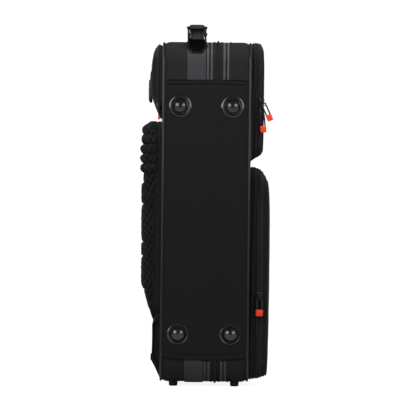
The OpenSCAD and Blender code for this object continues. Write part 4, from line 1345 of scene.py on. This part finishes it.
for tag, x0, x1, path, closed, body in (("rear", RX + 6.2, ZIP1 - 0.5, BODY, True, "rear_shell"),
                                        ("front", FX - 6.2, ZIP2 + 0.5, BODY, True, "front_shell"),
                                        ("band", ZIP1 + 0.5, ZIP2 - 0.5, OPEN, False, "middle_leaf")):
    b = Build()
    lining_ring(b, min(x0, x1), max(x0, x1), path, closed)
    if tag == "rear":
        spine_strip(b, ZIP1 - 0.6, FOLD1 - 0.3, SEAM_LO + 1, SEAM_HI - 1)
    elif tag == "front":
        spine_strip(b, FOLD2 + 0.3, ZIP2 + 0.6, SEAM_LO + 1, SEAM_HI - 1)
    else:
        spine_strip(b, FOLD1 + 0.3, FOLD2 - 0.3, SEAM_LO + 1, SEAM_HI - 1)
    b.make(f"{tag}_quilted_lining", LINING, body, "wall_foam", [f"{tag}_core"], sharp=60)
    b = Build()
    for x, s in ((x0, 0), (x1, 1)) if tag == "band" else ((x1, 1),):
        k = -1 if x == max(x0, x1) else 1
        sweep(b, [(x, -2.6), (x + k * 2.4, -7.0), (x + k * 2.2, -7.7), (x + k * 1.2, -7.9), (x, -7.6)],
              path, closed)
    b.make(f"{tag}_lining_binding", BINDING, body, "wall_foam", sharp=60)

b = Build()
for side in (-1, 1):
    plate(b, RIDGE, RIDGE + side * 1.5, 7.6, R - 7.6, 0.5, 0.15, 0.35, 58.0)
b.make("divider_quilted", BOARD, "middle_leaf", "stiff_board", ["divider"], sharp=60)
b = Build()
edge = loop_path(SY + 8.6, FY - 8.6, BZ + 8.6, TZ - 8.6, R - 8.6)
sweep(b, [(RIDGE - 2.3, 0), (RIDGE - 2.6, -3.0), (RIDGE - 2.0, -4.0), (RIDGE + 2.0, -4.0),
          (RIDGE + 2.6, -3.0), (RIDGE + 2.3, 0),
          (RIDGE + 1.2, 0.9), (RIDGE - 1.2, 0.9)], edge, True)
b.make("divider_binding", BINDING, "middle_leaf", "wall_foam", sharp=60)
tapes, teeth = Build(), Build()
for side in (-1, 1):
    zc, ya, yb = TZ - 150, SY + 45, FY - 45
    for k in (-1, 1):
        ring = [(1.5, 1.0), (2.9, 1.0), (2.9, 7.2), (2.4, 7.6), (1.5, 7.6)]
        tapes.grid([[(RIDGE + side * q, y, zc + k * v) for q, v in ring] for y in np.linspace(ya, yb, 20)],
                   wrap_v=True, cap_u=True)
    y = np.arange(ya + 2, yb - 2, 2.2)
    c = np.stack([np.full_like(y, RIDGE + side * 2.2), y, np.full_like(y, zc)], 1)
    one = np.ones_like(y)
    e = lambda i: np.stack([one * (i == 0), one * (i == 1), one * (i == 2)], 1)
    teeth.blocks(c, e(1), e(0) * side, e(2), (1.5, 1.3, 3.2), 0.7)
tapes.make("divider_pocket_tape", TAPE, "middle_leaf", "zip_tape", sharp=50)
teeth.make("divider_pocket_teeth", COIL, "middle_leaf", "zip_tape", sharp=60)

lo, hi = span("tie_straps")
web, patch = Build(), Build()
for zc in (lo[2] + 12.5, hi[2] - 12.5):
    for ya, yb, x0 in ((lo[1], MID_Y + 28, lo[0] + 0.1), (MID_Y - 28, hi[1], lo[0] + 1.3)):
        rows = []
        for y in np.linspace(ya, yb, 40):
            e = min(1.0, min(y - ya, yb - y) / 6.0 + 0.35)
            x = x0 + 0.35 * math.sin(y / 21.0) + 0.3
            rows.append([(x, y, zc - 12.4 * e), (x + 1.1, y, zc - 12.0 * e), (x + 1.4, y, zc - 6),
                         (x + 1.2, y, zc), (x + 1.4, y, zc + 6),
                         (x + 1.1, y, zc + 12.0 * e), (x, y, zc + 12.4 * e)])
        web.solid(rows)
    rows = []
    for q, x in ((0, 2.6), (0.4, 3.5), (1.6, 3.7)):
        ring = ring_yz(MID_Y - 24 + q, MID_Y + 24 - q, zc - 10.5 + q, zc + 10.5 - q, 3, 5, 6)
        rows.append([(lo[0] + x, y, z) for y, z, _, _ in ring])
    patch.solid(rows)
web.make("tie_strap_webs", WEB, "rear_shell", "webbing", ["tie_straps"], sharp=50)
patch.make("tie_strap_patches", BINDING, "rear_shell", "webbing", sharp=50)

for tag, body in (("rear", "rear_shell"), ("front", "front_shell")):
    lo, hi = span(f"stud_washers_{tag}")
    r = (hi[0] - lo[0]) / 2
    h = hi[1] - lo[1]
    washer = [(0.01, 0), (r, 0), (r, h - 0.4), (r - 0.4, h), (3.4, h), (2.8, h + 1.1), (1.6, h + 1.5),
              (0.01, h + 1.6)]
    b = Build()
    for z in (lo[2] + r, hi[2] - r):
        lathe(b, ((lo[0] + hi[0]) / 2, lo[1], z), washer, (0, 1, 0), 36)
    b.make(f"{tag}_stud_washer_pair", STEEL, body, "steel", [f"stud_washers_{tag}"], sharp=40)


# ---------- zip sliders and pulls ----------

SLIDER_PLAN = [(-2.6, -7.2), (2.6, -7.2), (3.9, -4.6), (4.3, 1.0), (4.2, 4.6), (2.8, 7.4), (1.0, 7.0),
               (0, 5.6),
               (-1.0, 7.0), (-2.8, 7.4), (-4.2, 4.6), (-4.3, 1.0), (-3.9, -4.6)]

EAR = [(0, -2.6), (0.45, -2.2), (0.8, -1.9), (0.95, -1.1), (1.0, 0), (0.95, 1.1), (0.8, 1.9), (0.45, 2.2),
       (0, 2.6)]
NECK = [(-1.1, -1.0), (0, -1.2), (1.1, -1.0), (1.2, 0), (1.1, 1.0), (0, 1.2), (-1.1, 1.0), (-1.2, 0)]


def fittings(node_slider, node_pull, body_slider, body_pull, face, flip=False, tilt=0.0, turn=0.0,
             long=38.0, half=5.4,
             tip=12.0):
    """A slider and the pull that hangs from it; face is -1 on the spine side, 1 on the far wall."""
    lo, hi = span(node_slider)
    x, z = (lo[0] + hi[0]) / 2, (lo[2] + hi[2]) / 2
    wall = hi[1] + 0.8 if face < 0 else lo[1] - 0.8
    reach = abs((lo[1] if face < 0 else hi[1]) - wall) - 1.5
    fz = -1 if flip else 1

    def at(px, py, pz):
        """A point in the slider's own axes: along X, out of the wall, and up."""
        return (x - face * px, wall + face * py, z + pz)

    b = Build()
    rows = []
    for y, k in ((0.8, 0.94), (1.4, 1.0), (2.6, 1.0), (3.5, 0.93), (4.1, 0.72), (4.2, 0.35)):
        rows.append([at(px * k, y, fz * pz * (k if k < 0.9 else 1)) for px, pz in SLIDER_PLAN])
    b.solid(rows)
    for s in (-1, 1):
        rows = []
        for px in (s * 2.1, s * 3.2):
            rows.append([at(px, 3.4 + q * (reach + 1.5 - 3.4), w) for q, w in EAR])
        b.solid(rows)
    lathe(b, at(-2.9, reach, 0), [(0.01, 0), (0.85, 0), (0.85, 5.8), (0.01, 5.8)],
          (1, 0, 0) if face < 0 else (-1, 0, 0), 14)
    b.make(node_slider + "_body", METAL, body_slider, "slider_metal", [node_slider], sharp=35)

    ct, st = math.cos(math.radians(tilt)), math.sin(math.radians(tilt))
    cu, su = math.cos(math.radians(turn)), math.sin(math.radians(turn))

    def hang(px, py, pz):
        """A point of the pull, turned with it about its pin."""
        a, c = px * ct - pz * st, px * st + pz * ct
        a, q = a * cu + py * su, a * su - py * cu
        return at(a, reach - q, c)

    b = Build()
    top, low = -4.9, -long + tip - 1.0
    # the loop: an outer band with a short slot above a crossbar and a long slot below it
    bar = -top + 4.6

    def frame_ring(w, z0, z1, r, th):
        return [hang(q[0], th, q[1]) for q in ring_yz(-w, w, z0, z1, r, 5, 8)]

    w = half - 0.5
    for (z1, z0), (s1, s0) in (((top, -bar), (top - 1.9, -bar + 0.6)),
                               ((-bar + 0.5, low), (-bar - 0.8, low + 1.0))):
        rows = [frame_ring(w, z0, z1, 2.0, -0.7), frame_ring(w, z0, z1, 2.0, 0.7),
                frame_ring(w - 0.5, z0 + 0.5, z1 - 0.5, 1.8, 1.15),
                frame_ring(2.6, s0 - 0.4, s1 + 0.4, 1.0, 1.15), frame_ring(2.2, s0, s1, 0.9, 0.7),
                frame_ring(2.2, s0, s1, 0.9, -0.7),
                frame_ring(2.6, s0 - 0.4, s1 + 0.4, 1.0, -1.15),
                frame_ring(w - 0.5, z0 + 0.5, z1 - 0.5, 1.8, -1.15)]
        b.grid(rows, wrap_u=True, wrap_v=True)
    # the eye round the slider's pin and the neck to the loop; at rest both stand straight
    turns = np.arange(20) * math.pi / 10
    rows = []
    for px, r in ((-1.7, 2.0), (-1.3, 2.3), (1.3, 2.3), (1.7, 2.0), (1.7, 1.15), (-1.7, 1.15)):
        rows.append([at(px, reach + r * math.sin(a), r * math.cos(a)) for a in turns])
    b.grid(rows, wrap_u=True, wrap_v=True)
    rows = []
    for t in np.linspace(0, 1, 5):
        za = -1.7 + (-6.2 + 1.7) * t
        rows.append([at(x_, reach + y_, za) if t < 0.5 else hang(x_, y_, za) for x_, y_ in NECK])
    b.solid(rows)
    b.make(node_pull + "_loop", LOOP, body_pull, "pull_rubber", [node_pull], sharp=40)

    b = Build()
    rows = []
    z_top, z_low = -long + tip, -long
    for q in np.linspace(0, 1, 15):
        z_ = z_top + (z_low - z_top) * q
        e = min(q, 1 - q) * tip
        k = 1 - (0.26 if q > 0.5 else 0.08) * (1 - min(1.0, e / 2.2)) ** 2
        th = 1 - 0.45 * (1 - min(1.0, e / 1.4)) ** 2
        raised = 0.30 if 0.22 < q < 0.78 else 0.0
        shape = [(-1, 0.15), (-0.93, 1.0), (-0.40, 1.95), (-0.28, 1.9 + raised), (0.2, 1.75 + raised),
                 (0.74, 1.45 + raised),
                 (0.82, 1.3), (0.96, 0.8), (1, 0.1), (0.94, -1.2), (0, -1.8), (-0.94, -1.2)]
        rows.append([hang(sx * half * k, sy * th, z_) for sx, sy in shape])
    b.solid(rows)
    b.make(node_pull + "_tip", ORANGE, body_pull, "pull_rubber", sharp=32)


fittings("upper_slider_a", "upper_pull_a", "upper_zip_slider_a", "upper_zip_pull_a", -1, tilt=24, long=39.5)
fittings("upper_slider_b", "upper_pull_b", "upper_zip_slider_b", "upper_zip_pull_b", -1, flip=True, tilt=5)
fittings("lower_slider", "lower_pull", "lower_zip_slider", "lower_zip_pull", -1, half=6.7)
fittings("rear_slider", "rear_pull", "rear_zip_slider", "rear_zip_pull", -1, turn=90, long=24, half=4.6,
         tip=7.0)
for zip_name in ("main", "front"):
    for end, flip in (("a", False), ("b", True)):
        fittings(f"{zip_name}_slider_{end}", f"{zip_name}_pull_{end}", f"{zip_name}_zip_slider_{end}",
                 f"{zip_name}_zip_pull_{end}", 1, flip=flip, half=4.8, tilt=0.0 if flip else -22.0)


# ---------- camera, lights, floor ----------

cam = bpy.data.objects.new("camera", bpy.data.cameras.new("camera"))
bpy.context.scene.collection.objects.link(cam)
DIST, VIEW_WIDTH, SENSOR, ROLL = 7.0, 0.757, 36, -0.62
cam.location = (0.0039, SY * mm - DIST, 0.3256)
cam.rotation_euler = (math.pi / 2, math.radians(ROLL), 0)
cam.data.lens = SENSOR * DIST / VIEW_WIDTH
cam.data.dof.use_dof = False
bpy.context.scene.camera = cam

bpy.ops.mesh.primitive_plane_add(size=60, location=(0, 0, -0.0002))
floor = bpy.context.object
floor.name = "studio_floor"
m, t, bs = nodes_of("pale_floor")
pos = add(t, "ShaderNodeTexCoord").outputs["Object"]
t.links.new(tint(t, noise_tex(t, pos, 3, 2), (0.44, 0.44, 0.445), (0.48, 0.48, 0.485)),
            bs.inputs["Base Color"])
bs.inputs["Roughness"].default_value = 0.9
bs.inputs["Emission Color"].default_value = (1, 1, 1, 1)
sep = t.nodes.new("ShaderNodeVectorMath")
sep.operation = "LENGTH"
t.links.new(pos, sep.inputs[0])
far = add(t, "ShaderNodeMapRange")
for k, v in zip((1, 2, 3, 4), (0.3, 1.6, 0.90, 1.0)):
    far.inputs[k].default_value = v
t.links.new(sep.outputs["Value"], far.inputs[0])
t.links.new(math_node(t, "MULTIPLY", far.outputs[0], add(t, "ShaderNodeLightPath").outputs["Is Camera Ray"]),
            bs.inputs["Emission Strength"])
floor.data.materials.append(m)


def softbox(name, loc, size, power, target=(0, -0.1, 0.33)):
    """An area light turned to a target."""
    d = bpy.data.lights.new(name, "AREA")
    d.shape = "RECTANGLE"
    d.size, d.size_y = size
    d.energy = power
    o = bpy.data.objects.new(name, d)
    bpy.context.scene.collection.objects.link(o)
    o.location = loc
    o.rotation_euler = (Vector(target) - Vector(loc)).to_track_quat("-Z", "Y").to_euler()
    return o


softbox("key_left", (-1.55, -1.5, 1.05), (1.5, 1.3), 17.5, (0, -0.1, 0.45))
softbox("key_right", (1.55, -1.5, 1.0), (1.5, 1.3), 14.5, (0, -0.1, 0.45))
top_front = softbox("top_front", (0, -0.62, 1.35), (1.2, 0.7), 13.5, (0, -0.1, 0.5))
top_front.visible_glossy = False
softbox("back_left", (-1.9, 1.6, 1.2), (1.2, 1.6), 10)
softbox("back_right", (1.9, 1.6, 1.2), (1.2, 1.6), 10)

w = bpy.data.worlds.new("studio")
bpy.context.scene.world = w
w.use_nodes = True
wt = w.node_tree
bg = wt.nodes["Background"]
bg.inputs[0].default_value = (1, 1, 1, 1)
bg.inputs[1].default_value = 0.06
seen = add(wt, "ShaderNodeBackground", Color=(1, 1, 1, 1), Strength=1.05)
mix = add(wt, "ShaderNodeMixShader")
lp = add(wt, "ShaderNodeLightPath")
wt.links.new(lp.outputs["Is Camera Ray"], mix.inputs[0])
wt.links.new(bg.outputs[0], mix.inputs[1])
wt.links.new(seen.outputs[0], mix.inputs[2])
wt.links.new(mix.outputs[0], wt.nodes["World Output"].inputs[0])
bpy.context.scene.view_settings.view_transform = "Standard"
